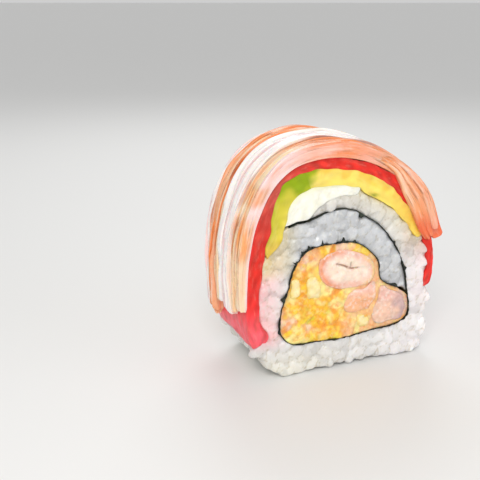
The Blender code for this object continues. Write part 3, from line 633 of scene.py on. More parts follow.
grain_places, grain_sizes, grain_along, grain_facing, grain_level = [], [], [], [], []
for side in (-1, 1):
    for apart, size, margin, sink in ((2.2, 1.0, 1.2, 0.0), (1.5, 0.62, 0.9, 0.35)):
        spots = spread(draw, (-20.5, 0.7), (21.0, 38.5), rice_allows(margin), apart, 9000)
        way = layer_ways[nearest_on(layer_lines, spots)]
        angle = np.arctan2(way[:, 1], way[:, 0]) + draw.normal(0, 0.75, len(spots))
        tip = draw.normal(0, 0.35, len(spots))
        along = np.column_stack((np.cos(angle), tip, np.sin(angle)))
        room = distance_to(spots, sheet_near) - SHEET_ROOM
        width = np.minimum(size * GRAIN_WIDTH * draw.uniform(0.9, 1.15, len(spots)),
                           np.maximum(2 * room, 0.9))
        length = np.minimum(size * GRAIN_LENGTH * draw.uniform(0.7, 1.0, len(spots)),
                            width * 1.1 + 2.4 * np.maximum(room, 0))
        deep = width * 0.40 + draw.uniform(0.0, 0.3, len(spots)) + sink
        grain_places.append(np.column_stack((spots[:, 0], side * (HALF_DEPTH - deep), spots[:, 1])))
        grain_sizes.append(np.column_stack((length, width, width * GRAIN_FLATNESS)))
        grain_along.append(along)
        grain_facing.append(np.tile((0.0, side, 0.0), (len(spots), 1)))
        grain_level.append(0.04 + sink + draw.uniform(0.0, 0.42, len(spots)))

flank_right, flank_left = soft_line(RICE_FLOOR[:9], 2.2), soft_line(RICE_FLOOR[9:], 2.2)
underside = np.column_stack((np.linspace(-12.0, 16.4, 13), np.zeros(13)))
for flank, inset, way in ((flank_right[1:], 0.15, 1), (flank_left[:-1], 0.15, 1), (underside, 0.95, -1)):
    ahead = way * np.gradient(flank, axis=0)
    ahead /= np.hypot(*ahead.T)[:, None]
    inward = -left_of(ahead)
    spots = np.repeat(flank + inward * inset, FLANK_ROWS, axis=0)
    ways, back = np.repeat(ahead, FLANK_ROWS, axis=0), np.repeat(-inward, FLANK_ROWS, axis=0)
    count = len(spots)
    y = np.tile(np.linspace(-8.3, 8.3, FLANK_ROWS), len(flank)) + draw.uniform(-0.7, 0.7, count)
    spots = spots + draw.uniform(-0.55, 0.55, (count, 2))
    lean = draw.normal(0.0, 0.75, count)
    along = np.column_stack((ways[:, 0] * np.sin(lean), np.cos(lean), ways[:, 1] * np.sin(lean)))
    width = GRAIN_WIDTH * draw.uniform(0.85, 1.08, count)
    length = GRAIN_LENGTH * draw.uniform(0.68, 1.0, count)
    keep = distance_to(spots, tuna_inside) > 1.5
    grain_places.append(np.column_stack((spots[:, 0], y, np.maximum(spots[:, 1], 0.9)))[keep])
    grain_sizes.append(np.column_stack((length, width, width * GRAIN_FLATNESS))[keep])
    grain_along.append(along[keep])
    grain_facing.append(np.column_stack((back[:, 0], np.zeros(count), back[:, 1]))[keep])
    grain_level.append(draw.uniform(0.12, 0.3, count)[keep])

grain_places, grain_sizes = np.vstack(grain_places), np.vstack(grain_sizes)
grain_level = np.concatenate(grain_level)
grain_frames = axes_from(np.vstack(grain_along), np.vstack(grain_facing))
bodies, quads, tris = scattered(grain_shape, grain_quads, grain_tris, grain_sizes, grain_frames,
                                grain_places)
bodies = own_side(bodies, grain_places, nori_line[::2], SHEET_ROOM)


def pressed(value, level, soft):
    """A smooth maximum of a value and a level: half their sum plus half a rounded difference."""
    return 0.5 * (value + level + np.sqrt((value - level) ** 2 + soft ** 2))


def cut_level(bodies, level, soft):
    """Bodies pressed flat by the knife, each a level of its own short of both cuts."""
    bodies[..., 1] = pressed(bodies[..., 1] + HALF_DEPTH, level[:, None], soft) - HALF_DEPTH
    bodies[..., 1] = HALF_DEPTH - pressed(HALF_DEPTH - bodies[..., 1], level[:, None], soft)


# The knife presses the grains level at both cuts, and the board presses them flat underneath.
cut_level(bodies, grain_level, 0.25)
bodies[..., 2] = pressed(bodies[..., 2], 2.2 * np.maximum(grain_level[:, None] - 0.14, 0.0), 0.12)
bodies[..., 2] = np.maximum(bodies[..., 2], 0.0)
points, quads, tris = fused([core_of(core_loop, CORE_SINK), (bodies.reshape(-1, 3), quads, tris)],
                            GRAIN_CUBE)


def kept_off(points, line, wall, clear, reach):
    """Points near the line are drawn in so that a wall at one distance comes to another: clear +
    (d - wall) (reach - clear) / (reach - wall) inside the reach, and never nearer than clear."""
    nearest = nearest_on(line, points[:, [0, 2]])
    gap = points[:, [0, 2]] - line[nearest]
    length = np.maximum(np.hypot(*gap.T), 1e-6)[:, None]
    kept = points.copy()
    drawn = clear + (length - wall) * (reach - clear) / (reach - wall)
    drawn = np.maximum(np.where(length < reach, drawn, length), clear)
    kept[:, [0, 2]] = line[nearest] + gap / length * drawn
    return kept


points = kept_off(points, nori_line[::2], SHEET_WALL, SHEET_CLEAR, 1.6)
over_rice = np.vstack((rice_left, rice_under_left, cheese_base[1:], rice_under_right, rice_right))
over_rice = respaced(over_rice, 0.25)
points = kept_under(points, over_rice)
# One tear in the sheet shows as a dark notch on the front cut: the rice gives way round it.
notch = np.exp(-((points[:, 0] - 3.2) ** 2 + (points[:, 2] - 31.7) ** 2) / 0.4) * (points[:, 1] < 0)
points[:, 1] = points[:, 1] + 0.8 * notch
points[:, 2] = np.maximum(points[:, 2], 0.0)
grain_bright = draw.normal(0.99, 0.09, len(grain_places))[:, None] * np.ones(3)
bright, depth = shared_colours(points, grain_places, grain_frames, grain_sizes, grain_bright, 0.10)
tint = rice_tint(points[:, [0, 2]]) * bright
# Painted shade: the rice is darkened in the creases where grains meet.
tint = mixed(tint, tint * RICE_CREASE_SHADE, 0.8 * step_up(depth, 0.85, 0.5))
rice_material = food_material("cooked_rice", [((0.93, 0.92, 0.88), 0.35, 1.0, 1.1, 0.48, 0.72),
                                              ((0.50, 0.50, 0.46), 0.22, 1.0, 0.55, 0.52, 0.75)],
                              beads=2.2, dry=0.42, wet=0.18, relief=(0.06, 0.05),
                              under=0.45, under_scale=1.1, under_radius=(1.0, 0.85, 0.7),
                              coat=0.45, coat_rough=0.10)
food_piece("cooked_rice", [(points, quads, tris, tint, points)], rice_material,
           ["rice"], sharp=80.0)

# Cooked filling.
# A moist, crumbly yellow and orange mix packed inside the nori, round three pieces of shrimp
# and three pale blocks. Its crumbs are pressed level by the knife.
SHRIMP_TOP = [(-5.9, 21.6), (-5.4, 23.8), (-3.6, 25.0), (-0.8, 25.4), (1.6, 25.1),
              (4.3, 23.7), (6.7, 21.6), (6.8, 19.2), (5.0, 17.6), (1.4, 16.9),
              (-2.4, 17.6), (-4.8, 19.2)]
SHRIMP_MIDDLE = [(2.0, 16.2), (4.8, 16.8), (6.6, 17.9), (7.4, 16.9), (7.4, 14.4), (6.2, 12.4),
                 (5.6, 11.7), (3.0, 11.6), (0.4, 12.2), (0.3, 14.4)]
SHRIMP_SIDE = [(8.6, 16.3), (10.4, 15.7), (12.4, 14.6), (14.2, 13.1), (14.7, 11.2),
               (14.4, 9.2), (13.2, 8.5), (10.6, 8.2), (7.9, 8.2), (6.6, 10.9), (7.9, 13.6)]
PALE_BLOCKS = [[(3.0, 10.9), (5.8, 10.9), (6.3, 8.2), (3.5, 7.9)],
               [(-12.0, 20.4), (-9.9, 20.7), (-9.8, 16.6), (-11.9, 16.3)],
               [(-8.6, 20.6), (-6.2, 20.8), (-4.9, 17.6), (-5.2, 15.6), (-8.3, 15.8)]]
# Crumb colours: egg yellow, pale cream, orange, peach, lime, brown, pink and butter.
MIX_COLOURS = np.array([(0.96, 0.55, 0.02), (0.98, 0.78, 0.28), (0.90, 0.32, 0.02),
                        (0.95, 0.53, 0.25), (0.80, 0.66, 0.02), (0.46, 0.15, 0.02),
                        (0.95, 0.63, 0.45), (0.97, 0.64, 0.07)])
# The first colour here is painted shade for the creases between crumbs.
MIX_CREASE_SHADE, MIX_PEACH = (0.90, 0.60, 0.33), (0.92, 0.49, 0.27)
MIX_MAUVE, MIX_BROWN = (0.70, 0.47, 0.44), (0.56, 0.18, 0.02)
MIX_SINK, CRUMB_CUBE, CRUMB_ROOM, CRUMB_WALL = 0.62, 0.25, 0.32, 0.50


def loop_of(points, step, soft=True):
    """A closed line through points, straight or made of cubics whose end slopes are half the
    chord between the neighbours, spaced evenly."""
    p = np.array(points, float)
    place = np.linspace(0, len(p), 60 * len(p), endpoint=False)
    i, t = place.astype(int), (place % 1)[:, None]
    a, b, c, d = p[i - 1], p[i], p[(i + 1) % len(p)], p[(i + 2) % len(p)]
    curve = 0.5 * (2 * b + (c - a) * t + (2 * a - 5 * b + 4 * c - d) * t ** 2
                   + (3 * b - 3 * c + d - a) * t ** 3)
    return respaced(closed(curve if soft else b + (c - b) * t), step)[:-1]


shrimp_loops = [loop_of(p, 0.35) for p in (SHRIMP_TOP, SHRIMP_MIDDLE, SHRIMP_SIDE)]
block_loops = [loop_of(p, 0.3, soft=False) for p in PALE_BLOCKS]


def shrunk(loop, distance):
    """A closed line moved inward: to the left of a line that runs counter-clockwise."""
    x, z = loop.T
    turning = (x * np.roll(z, -1) - np.roll(x, -1) * z).sum()
    ahead = np.roll(loop, -1, axis=0) - np.roll(loop, 1, axis=0)
    return loop + left_of(ahead) * (distance * np.sign(turning))


mix_loop = shrunk(respaced(closed(filling_loop), 0.5)[:-1], 0.3)
draw = np.random.default_rng(7)


def mix_allows(edge, clear):
    """A test for crumb centres: inside the mix and off the shrimp and the pale blocks."""
    def test(spots):
        ok = within(spots, mix_loop) & (distance_to(spots, closed(mix_loop)) > edge)
        for loop in shrimp_loops + block_loops:
            ok &= ~(within(spots, loop) | (distance_to(spots, closed(loop)) < clear))
        return ok
    return test


crumb_shape, crumb_quads, crumb_tris = ball(sides=7, rings=4, blunt=0.55)
crumb_places, crumb_sizes, crumb_along, crumb_level = [], [], [], []
for side in (-1, 1):
    for apart, edge, size, sink in ((2.5, 1.2, 3.8, 0.1), (1.8, 0.8, 2.6, 0.1), (1.3, 0.45, 1.7, 0.15)):
        spots = spread(draw, (-14.5, 6.5), (15.5, 26.8), mix_allows(edge, 0.45), apart, 5000)
        count = len(spots)
        deep = np.full(count, side * (HALF_DEPTH - 0.25 * size - sink))
        crumb_places.append(np.column_stack((spots[:, 0], deep, spots[:, 1])))
        crumb_sizes.append(size * draw.uniform((0.8, 0.6, 0.6), (1.45, 1.1, 1.0), (count, 3)))
        crumb_along.append(np.column_stack((draw.normal(0, 0.5, count), draw.normal(0, 0.3, count),
                                            draw.normal(0, 1.0, count))))
        crumb_level.append(0.05 + sink + draw.uniform(0.0, 0.6, count))
crumb_places, crumb_sizes, crumb_along = (np.vstack(v) for v in (crumb_places, crumb_sizes, crumb_along))
crumb_level = np.concatenate(crumb_level)
count = len(crumb_places)
lumps = 1 + 0.16 * np.sin(crumb_shape @ draw.normal(0, 2.6, (3, count)) + draw.uniform(0, 6.3, count)).T
facing = np.tile((0.0, -1.0, 0.0), (count, 1)) + draw.normal(0, 0.25, (count, 3))
crumb_frames = axes_from(crumb_along, facing)
bodies, quads, tris = scattered(crumb_shape[None] * lumps[..., None], crumb_quads, crumb_tris,
                                crumb_sizes, crumb_frames, crumb_places)
wrap = nori_line[:turn_end + 60:2]
bodies = own_side(bodies, crumb_places, wrap, CRUMB_ROOM)
cut_level(bodies, crumb_level, 0.22)

# Yellow lies at the lower left, peach round the shrimp, and orange by the sheet at the left.
# Each row below is how often one of the crumb colours comes up at each crumb's place.
x, z = crumb_places[:, 0], crumb_places[:, 2]
low_left = step_up(x, 1.0, -7.0) * step_up(z, 19.0, 15.0)
lean = np.array((0.5 + 3.0 * low_left,
                 1.3 + 0 * x,
                 0.5 + 2.0 * step_up(x, -8.0, -12.0) * step_up(z, 12.0, 17.0)
                 + 1.2 * np.exp(-((x + 3) ** 2 + (z - 11.5) ** 2) / 14),
                 0.3 + 3.6 * step_up(x, -4.0, 3.0),
                 0.5 * low_left,
                 0.06 + 0.5 * step_up(x, -10.5, -12.8) * step_up(z, 14.0, 19.0),
                 0.1 + 1.8 * step_up(z, 20.0, 23.0) + 1.6 * step_up(x, 1.0, 6.0) * step_up(z, 22.0, 18.0),
                 0.9 - 0.7 * step_up(x, 0.0, 5.0)))
lean = np.cumsum(lean / lean.sum(0), axis=0)
pick = (draw.uniform(0, 1, count) > lean).sum(0).clip(0, len(MIX_COLOURS) - 1)
crumb_tint = MIX_COLOURS[pick] * draw.normal(1.0, 0.05, (count, 1))
points, quads, tris = fused([core_of(mix_loop, MIX_SINK), (bodies.reshape(-1, 3), quads, tris)],
                            CRUMB_CUBE)
points = kept_off(points, wrap, CRUMB_WALL, SHEET_CLEAR, 1.5)
tint, depth = shared_colours(points, crumb_places, crumb_frames, crumb_sizes, crumb_tint, 0.26)
# Painted shade: the mix is darkened in the creases where crumbs meet.
tint = mixed(tint, tint * MIX_CREASE_SHADE, 0.6 * step_up(depth, 0.75, 0.45))
flat = points[:, [0, 2]]
x, z = flat.T
to_shrimp = np.minimum(*(distance_to(flat, closed(loop)) for loop in shrimp_loops[1:]))
to_sheet = distance_to(flat, nori_line[:turn_end:6])
for other, amount in (
        (MIX_PEACH, 0.75 * step_up(to_shrimp, 1.8, 0.6) * step_up(x, 0.0, 3.0)),
        (MIX_MAUVE, 0.85 * step_up(to_shrimp, 1.2, 0.4) * step_up(x, 11.5, 14.0) * step_up(z, 8.6, 9.6)),
        (MIX_BROWN, 0.6 * step_up(to_sheet, 1.3, 0.2) * step_up(x, 3.0, -7.0) * step_up(z, 11.0, 15.0))):
    tint = mixed(tint, other, amount)
tint = tint * (1 + 0.07 * ripple(points, 1.2, 31))[:, None]
mix_material = food_material("cooked_mix", [((0.98, 0.80, 0.34), 0.55, 1.0, 0.75, 0.52, 0.66),
                                            ((0.86, 0.28, 0.03), 0.55, 1.0, 0.9, 0.56, 0.70),
                                            ((0.78, 0.70, 0.06), 0.35, 1.0, 0.6, 0.60, 0.74)],
                             beads=1.8, dry=0.45, wet=0.22, relief=(0.10, 0.10),
                             under=0.35, under_scale=1.0, under_radius=(1.0, 0.6, 0.2),
                             coat=0.25, coat_rough=0.15)
food_piece("cooked_mix", [(points, quads, tris, tint, points)], mix_material,
           ["filling_mix"], sharp=80.0)

# Shrimp.
# Three pieces of cooked shrimp run through the filling: moist flesh, near white in the middle
# and salmon at the rim. The top one is curled, and its fold shows as a thin brown line.
SHRIMP_WHITE, SHRIMP_ROSE = np.array((0.95, 0.76, 0.62)), np.array((0.90, 0.53, 0.42))
SHRIMP_SALMON, SHRIMP_PEACH = np.array((0.84, 0.27, 0.11)), np.array((0.92, 0.47, 0.25))
SHRIMP_MAUVE, SHRIMP_FOLD = np.array((0.56, 0.37, 0.38)), np.array((0.30, 0.09, 0.04))
TOP_FOLD = [(-2.2, 22.6), (-0.6, 22.1), (1.1, 21.3), (3.0, 21.2)]
TOP_NOTCH = np.array(((1.1, 22.6), (1.2, 20.9)))
SHRIMP_SINK = 0.22


def plug(loop, sink, corner, dome):
    """A closed section line carried through the food: centre + share times (line - centre),
    the share running 0 to 1 on the front, staying 1 along the side and back to 0 behind."""
    near, far = sink - HALF_DEPTH, HALF_DEPTH - sink
    centre = loop.mean(0)
    size = np.hypot(*(loop - centre).T).mean()
    share = np.linspace(0.06, 1 - corner / size, 12)
    turn = np.linspace(0, np.pi / 2, 5)[1:]
    front_share = np.append(share, 1 - corner / size * (1 - np.sin(turn)))
    front_deep = np.append(-dome * (1 - (share / share[-1]) ** 2), corner * (1 - np.cos(turn)))
    straight = np.linspace(0, 1, 12)[1:-1]
    shares = np.concatenate((front_share, np.ones(10), front_share[::-1]))
    deeps = np.concatenate((near + front_deep, near + corner + straight * (far - near - 2 * corner),
                            far - front_deep[::-1]))
    x = centre[0] + shares[:, None] * (loop[None, :, 0] - centre[0])
    z = centre[1] + shares[:, None] * (loop[None, :, 1] - centre[1])
    y = np.broadcast_to(deeps[:, None], x.shape)
    points = np.stack((x, y, z), -1).reshape(-1, 3)
    points = np.vstack((points, ((centre[0], near - dome, centre[1]), (centre[0], far + dome, centre[1]))))
    quads, tris = outward(points, *closed_grid(len(shares), len(loop)))
    return points, quads, tris


shrimp_material = food_material("cooked_shrimp", [((0.97, 0.84, 0.78), 0.5, 3.0, 1.3, 0.50, 0.68),
                                                  ((0.88, 0.36, 0.18), 0.28, 3.0, 1.0, 0.55, 0.72)],
                                beads=1.6, dry=0.38, wet=0.18, relief=(0.05, 0.07),
                                under=0.5, under_scale=1.4, under_radius=(1.0, 0.5, 0.35),
                                coat=0.4, coat_rough=0.1)
for number, (name, loop) in enumerate(zip(("shrimp_top", "shrimp_middle", "shrimp_side"), shrimp_loops)):
    points, quads, tris = plug(shrunk(loop, 0.02), SHRIMP_SINK, corner=0.45, dome=0.16)
    flat = points[:, [0, 2]]
    x, z = flat.T
    edge = distance_to(flat, closed(loop))
    centre = loop.mean(0)
    flecked = np.ones(len(points))
    if name == "shrimp_top":
        rim = np.exp(-((edge - 0.45) / 0.38) ** 2)
        tint = mixed(SHRIMP_WHITE, SHRIMP_ROSE, step_up(edge, 2.2, 0.8))
        tint = mixed(tint, SHRIMP_SALMON, 0.8 * rim * step_up(x, 1.0, -3.2))
        tint = mixed(tint, MIX_COLOURS[7], 0.5 * rim * step_up(x, 3.0, 5.0))
        fold = np.exp(-(distance_to(flat, soft_line(TOP_FOLD, 0.2)) / 0.20) ** 2)
        fold = np.maximum(fold, 0.7 * np.exp(-(distance_to(flat, TOP_NOTCH) / 0.14) ** 2))
        amount = 0.16 * ripple(points, 4.0, 41) - 0.45 * fold
        tint = mixed(tint, SHRIMP_FOLD, 0.85 * fold)
    elif name == "shrimp_middle":
        tint = mixed(SHRIMP_PEACH, SHRIMP_ROSE, step_up(z, 14.0, 16.5))
        tint = mixed(tint, SHRIMP_SALMON, 0.5 * step_up(x, 3.4, 5.6) * step_up(z, 14.2, 12.4))
        amount = 0.11 * ripple(points, 3.0, 42)
    else:
        tint = mixed(mixed(SHRIMP_PEACH, SHRIMP_WHITE, 0.45), SHRIMP_ROSE, step_up(z, 12.0, 14.0))
        tint = mixed(tint, SHRIMP_MAUVE, 0.2)
        tint = mixed(tint, SHRIMP_MAUVE, 0.9 * step_up(x + 0.5 * ripple(flat, 3.0, 48), 10.8, 13.8))
        flecked = 1 - 0.8 * step_up(x, 10.5, 13.0)
        amount = 0.10 * ripple(points, 3.5, 43)
    tint = np.column_stack((tint * (1 + 0.05 * ripple(points, 1.1, 44 + number))[:, None], flecked))
    points = bulged(points, quads, tris, amount)
    lay = np.column_stack((points[:, 1], points[:, 0] - centre[0], points[:, 2] - centre[1]))
    food_piece("cooked_" + name, [(points, quads, tris, tint, lay)], shrimp_material, [name])

# Pale blocks.
# Three soft cream-coloured blocks that run through the mix, each cut square by hand and with
# its corners worn round.
BLOCK_CREAM, BLOCK_YELLOW = np.array((0.96, 0.76, 0.38)), np.array((0.97, 0.66, 0.14))
BLOCK_SINK = 0.28
block_material = food_material("pale_block", [((0.98, 0.90, 0.66), 0.5, 1.5, 0.9, 0.48, 0.70),
                                              ((0.92, 0.52, 0.14), 0.35, 1.5, 1.1, 0.56, 0.74)],
                               beads=1.8, dry=0.42, wet=0.22, relief=(0.06, 0.08),
                               under=0.4, under_scale=1.0, under_radius=(1.0, 0.7, 0.35),
                               coat=0.25, coat_rough=0.15)
for number, loop in enumerate(block_loops, 1):
    eased = loop
    for easing in range(7):
        eased = (np.roll(eased, 1, axis=0) + 2 * eased + np.roll(eased, -1, axis=0)) / 4
    eased = eased - (eased - eased.mean(0)) * (0.02 + 0.03 * ripple(eased, 2.4, 55 + number))[:, None]
    points, quads, tris = plug(eased, BLOCK_SINK, corner=0.55, dome=0.1)
    edge = distance_to(points[:, [0, 2]], closed(loop))
    tint = mixed(BLOCK_CREAM, BLOCK_YELLOW, 0.6 * step_up(edge, 0.9, 0.2))
    points = bulged(points, quads, tris, 0.09 * ripple(points, 1.8, 50 + number))
    food_piece("cream_block_%d" % number, [(points, quads, tris, tint, points[:, [1, 0, 2]])],
               block_material, ["pale_block_%d" % number])

# Cream cheese.
# A soft white wedge laid on the rice under the avocado, with painted shade along its lower edge.
CHEESE_WHITE, CHEESE_RIM = np.array((0.92, 0.90, 0.77)), np.array((0.93, 0.90, 0.52))
CHEESE_SHADE = (0.72, 0.71, 0.62)
LAYER_SINK = 0.42
cheese_top = stretch_of(avocado_inside, (-13.3, 31.2), (2.9, 36.9))
cheese_under = respaced(cheese_base, 0.3, 90)
cheese_over = respaced(cheese_top, 0.3, 90)
points, quads, tris, lay, height = band(cheese_under, cheese_over, LAYER_SINK - HALF_DEPTH,
                                        HALF_DEPTH - LAYER_SINK, corner=0.08, across=16, deep=28,
                                        end_round=0.7, blunt=0.2)
tint = mixed(CHEESE_WHITE, CHEESE_RIM, 0.85 * step_up(height, 0.72, 1.0))
# Painted shade along the lower edge, where the cheese meets the rice.
tint = mixed(tint, CHEESE_SHADE, 0.5 * step_up(height, 0.18, 0.0))
tint = tint * (1 + 0.03 * ripple(points, 2.0, 61))[:, None]
free = np.clip(6 * height * (1 - height), 0, 1)
points = cut_relief(points, free * (0.12 * ripple(points, 2.6, 62) + 0.05 * ripple(points, 0.9, 63)))
cheese_material = food_material("soft_cheese", [((0.97, 0.97, 0.93), 0.5, 1.5, 0.6, 0.45, 0.70),
                                                ((0.80, 0.78, 0.60), 0.25, 1.5, 1.0, 0.55, 0.75)],
                                beads=1.4, dry=0.5, wet=0.32, relief=(0.05, 0.08),
                                under=0.4, under_scale=1.2, under_radius=(1.0, 0.9, 0.7),
                                coat=0.12, coat_rough=0.25)
food_piece("soft_cheese", [(points, quads, tris, tint, lay)], cheese_material,
           ["cream_cheese"])

# Avocado.
# Two slices of ripe flesh laid under the tuna: the left one green where it was near the skin,
# the right one butter yellow. They meet on a slanted joint at the upper left.
AVOCADO_GREEN, AVOCADO_LIME = np.array((0.26, 0.38, 0.0)), np.array((0.63, 0.56, 0.05))
AVOCADO_BUTTER, AVOCADO_GOLD = np.array((0.95, 0.73, 0.15)), np.array((0.94, 0.60, 0.09))
AVOCADO_BROWN, AVOCADO_SKIN = (0.70, 0.42, 0.05), (0.16, 0.24, 0.0)
avocado_material = food_material("avocado_flesh", [((0.97, 0.84, 0.36), 0.25, 4.0, 0.55, 0.46, 0.70),
                                                   ((0.60, 0.56, 0.04), 0.30, 4.0, 0.8, 0.55, 0.75)],
                                 beads=1.5, dry=0.5, wet=0.3, relief=(0.05, 0.06),
                                 under=0.3, under_scale=1.0, under_radius=(1.0, 0.8, 0.2),
                                 coat=0.0, coat_rough=0.25, specular=0.22)
joint_under, joint_over = (-8.1, 38.2), (-9.4, 41.5)
for name, out_from, out_to, in_from, in_to, slot in (
        ("avocado_left", (-17.4, 26.6), joint_over, (-16.9, 25.6), joint_under, "avocado_green"),
        ("avocado_right", joint_over, (17.6, 26.4), joint_under, (16.7, 26.0), "avocado_yellow")):
    over = respaced(stretch_of(tuna_inside, out_from, out_to), 0.3)
    under = respaced(stretch_of(avocado_inside, in_from, in_to), 0.3, len(over))
    points, quads, tris, lay, height = band(under, over, LAYER_SINK - HALF_DEPTH,
                                            HALF_DEPTH - LAYER_SINK, corner=0.07, across=12,
                                            deep=26, end_round=0.1, blunt=1.0)
    x, z = points[:, 0], points[:, 2]
    if name == "avocado_left":
        ripe = step_up(height + 0.1 * ripple(points, 3.0, 71), 0.55, 0.0)
        tint = mixed(AVOCADO_LIME, AVOCADO_BUTTER, 0.6 * ripe * step_up(z, 38.0, 30.0))
        tint = mixed(tint, AVOCADO_BROWN, 0.7 * step_up(z, 31.0, 26.5))
        tint = mixed(tint, AVOCADO_GREEN, 0.95 * step_up(z + 0.8 * ripple(points, 3.0, 72), 35.8, 39.2))
        tint = mixed(tint, AVOCADO_GREEN, 0.30 * step_up(height, 0.75, 1.0))
        flecked = 1 - 0.9 * step_up(z, 34.5, 38.0)
    else:
        ripe = step_up(height + 0.2 * ripple(points, 3.0, 73), 0.5, 0.95)
        tint = mixed(AVOCADO_BUTTER, AVOCADO_GOLD, ripe)
        tint = mixed(tint, AVOCADO_GOLD, 0.5 * step_up(x, 7.0, 14.0))
        greened = x + 0.4 * ripple(points, 2.0, 77) + 1.5 * (1 - height)
        tint = mixed(tint, AVOCADO_GREEN, 0.95 * step_up(greened, -5.2, -8.6))
        flecked = 1 - 0.9 * step_up(greened, -5.6, -8.2)
        # A scrap of green is left at the lower edge of the front cut.
        scrap = np.exp(-(x - 5.7) ** 2 / 0.8 - (z - 35.8) ** 2 / 0.12) * step_up(points[:, 1], -8.6, -9.3)
        tint = mixed(tint, AVOCADO_SKIN, 0.85 * scrap)
    tint = np.column_stack((tint * (1 + 0.04 * ripple(points, 1.6, 74))[:, None], flecked))
    free = np.clip(6 * height * (1 - height), 0, 1)
    points = cut_relief(points, free * (0.09 * ripple(points, 3.0, 75) + 0.03 * ripple(points, 0.9, 76)))
    food_piece(name + "_slice", [(points, quads, tris, tint, lay)], avocado_material, [name])

# Tuna.
# One raw slice bent over the avocado and down both flanks, longer at the left. Deep red on the
# cut, pinker on its broad face and at its thin foot, with fine pale lines along the muscle.
TUNA_OUTSIDE = [(-19.9, 7.0), (-21.0, 11.0), (-21.2, 17.0), (-20.9, 23.0), (-20.2, 29.0),
                (-18.6, 34.2), (-16.0, 38.8), (-12.5, 42.0), (-8.0, 43.7), (-3.0, 43.9),
                (2.5, 42.9), (7.0, 41.2), (11.0, 38.8), (14.8, 35.2), (17.8, 30.8),
                (19.8, 26.4), (20.9, 22.0), (21.0, 18.0), (20.3, 14.9)]
TUNA_RED, TUNA_ROSE = np.array((0.74, 0.034, 0.022)), np.array((0.95, 0.050, 0.055))
TUNA_PINK, TUNA_DULL = np.array((1.0, 0.15, 0.19)), np.array((0.56, 0.095, 0.070))
TUNA_SINK = 0.4
tuna_outside = soft_line(TUNA_OUTSIDE, 0.4)
tuna_under = respaced(tuna_inside, 0.4, len(tuna_outside))
points, quads, tris, lay, height = band(tuna_under, moved(tuna_outside, -0.05),
                                        TUNA_SINK - HALF_DEPTH, HALF_DEPTH - TUNA_SINK, corner=0.09,
                                        across=10, deep=38, end_round=0.9, blunt=0.35)
tint = mixed(TUNA_RED, TUNA_ROSE, 0.75 * step_up(points[:, 2] + 1.5 * ripple(points, 6.0, 81), 24.0, 10.0))
tint = mixed(tint, TUNA_ROSE, 0.75 * step_up(height, 0.86, 1.0))
tint = mixed(tint, TUNA_PINK, 0.9 * step_up(points[:, 2], 16.5, 9.0))
dull = np.exp(-((points[:, 0] + 14.5) ** 2 + (points[:, 2] - 37.5) ** 2) / 40)
muscle = lay @ np.array(((0.22, 0.10, -0.35), (0.0, 1.0, 0.0), (0.45, 0.25, 0.65)))
streaks = 0.35 * step_up(ripple(muscle, 1.6, 85), 0.2, 1.4)
tint = mixed(tint, TUNA_DULL, np.minimum(0.95 * dull + streaks, 1))
tint = tint * (1 + 0.09 * ripple(muscle, 1.1, 82))[:, None]
tint = np.column_stack((tint, 1 - 0.7 * step_up(height, 0.9, 1.0)))
points = bulged(points, quads, tris, np.clip(4 * height, 0, 1) * (0.10 * ripple(points, 5.0, 83)
                                                                  + 0.035 * ripple(points, 1.2, 84)))
tuna_material = food_material("raw_tuna", [((0.95, 0.26, 0.20), 0.35, 3.0, 1.8, 0.54, 0.70),
                                           ((0.45, 0.012, 0.012), 0.45, 3.0, 0.9, 0.48, 0.70)],
                              beads=1.6, dry=0.45, wet=0.28, relief=(0.04, 0.08),
                              under=0.25, under_scale=1.0, under_radius=(1.0, 0.2, 0.15),
                              coat=0.0, coat_rough=0.15, specular=0.16)
food_piece("raw_tuna", [(points, quads, tris, tint, lay)], tuna_material, ["tuna"])

# Crab sticks.
# Five flattened sticks side by side over the tuna. Each is a bundle of pressed fibre strands,
# white to peach inside, with orange skin, seared in places, and torn ends.
CRAB_WHITE, CRAB_LILAC = np.array((0.99, 0.90, 0.86)), np.array((0.95, 0.70, 0.69))
CRAB_CREAM, CRAB_PEACH = np.array((0.96, 0.70, 0.44)), np.array((0.95, 0.42, 0.22))
# The dark seared brown is used for seared marks and also as painted shade in the gaps between sticks.
CRAB_ORANGE, CRAB_SEARED_AND_GAP_SHADE = np.array((0.88, 0.25, 0.05)), np.array((0.30, 0.07, 0.02))
CRAB_AMBER, CRAB_TOAST = (0.88, 0.28, 0.11), (0.88, 0.34, 0.08)
CRAB_RED, CRAB_MAUVE = (0.84, 0.10, 0.02), (0.62, 0.36, 0.42)
# The first colour here is painted shade for the low sides of the strands.
CRAB_STRAND_SIDE_SHADE, LIP_PALE = (0.84, 0.42, 0.26), (0.94, 0.52, 0.36)
CRAB_STRIPS = [("crab_strip_front", 0.1, 4.1, (1.5, 2.0, 2.3, 2.7, 2.9, 3.0, 3.0, 2.4)),
               ("crab_strip_second", 4.45, 8.0, (1.6, 2.3, 2.8, 3.2, 3.5, 3.5, 3.3, 2.8)),
               ("crab_strip_third", 8.35, 12.2, (1.5, 2.2, 2.6, 3.3, 3.8, 3.6, 3.2, 2.6)),
               ("crab_strip_fourth", 12.55, 16.4, (1.4, 2.0, 2.2, 2.8, 3.5, 3.6, 3.1, 2.4)),
               ("crab_strip_back", 16.75, 19.9, (0.9, 1.3, 1.6, 2.3, 2.9, 3.1, 2.8, 2.2))]
CRAB_FOOT_Z = (15.0, 13.4, 13.8, 9.8, 10.6)
CRAB_END_Z = (24.6, 27.2, 25.4, 27.8, 24.2)
LIP_INSIDE = [(3.6, 44.2), (6.6, 42.4), (9.6, 40.2), (11.2, 37.6), (12.3, 35.4), (13.8, 32.9),
              (15.0, 30.6), (16.4, 28.0), (18.3, 25.4)]
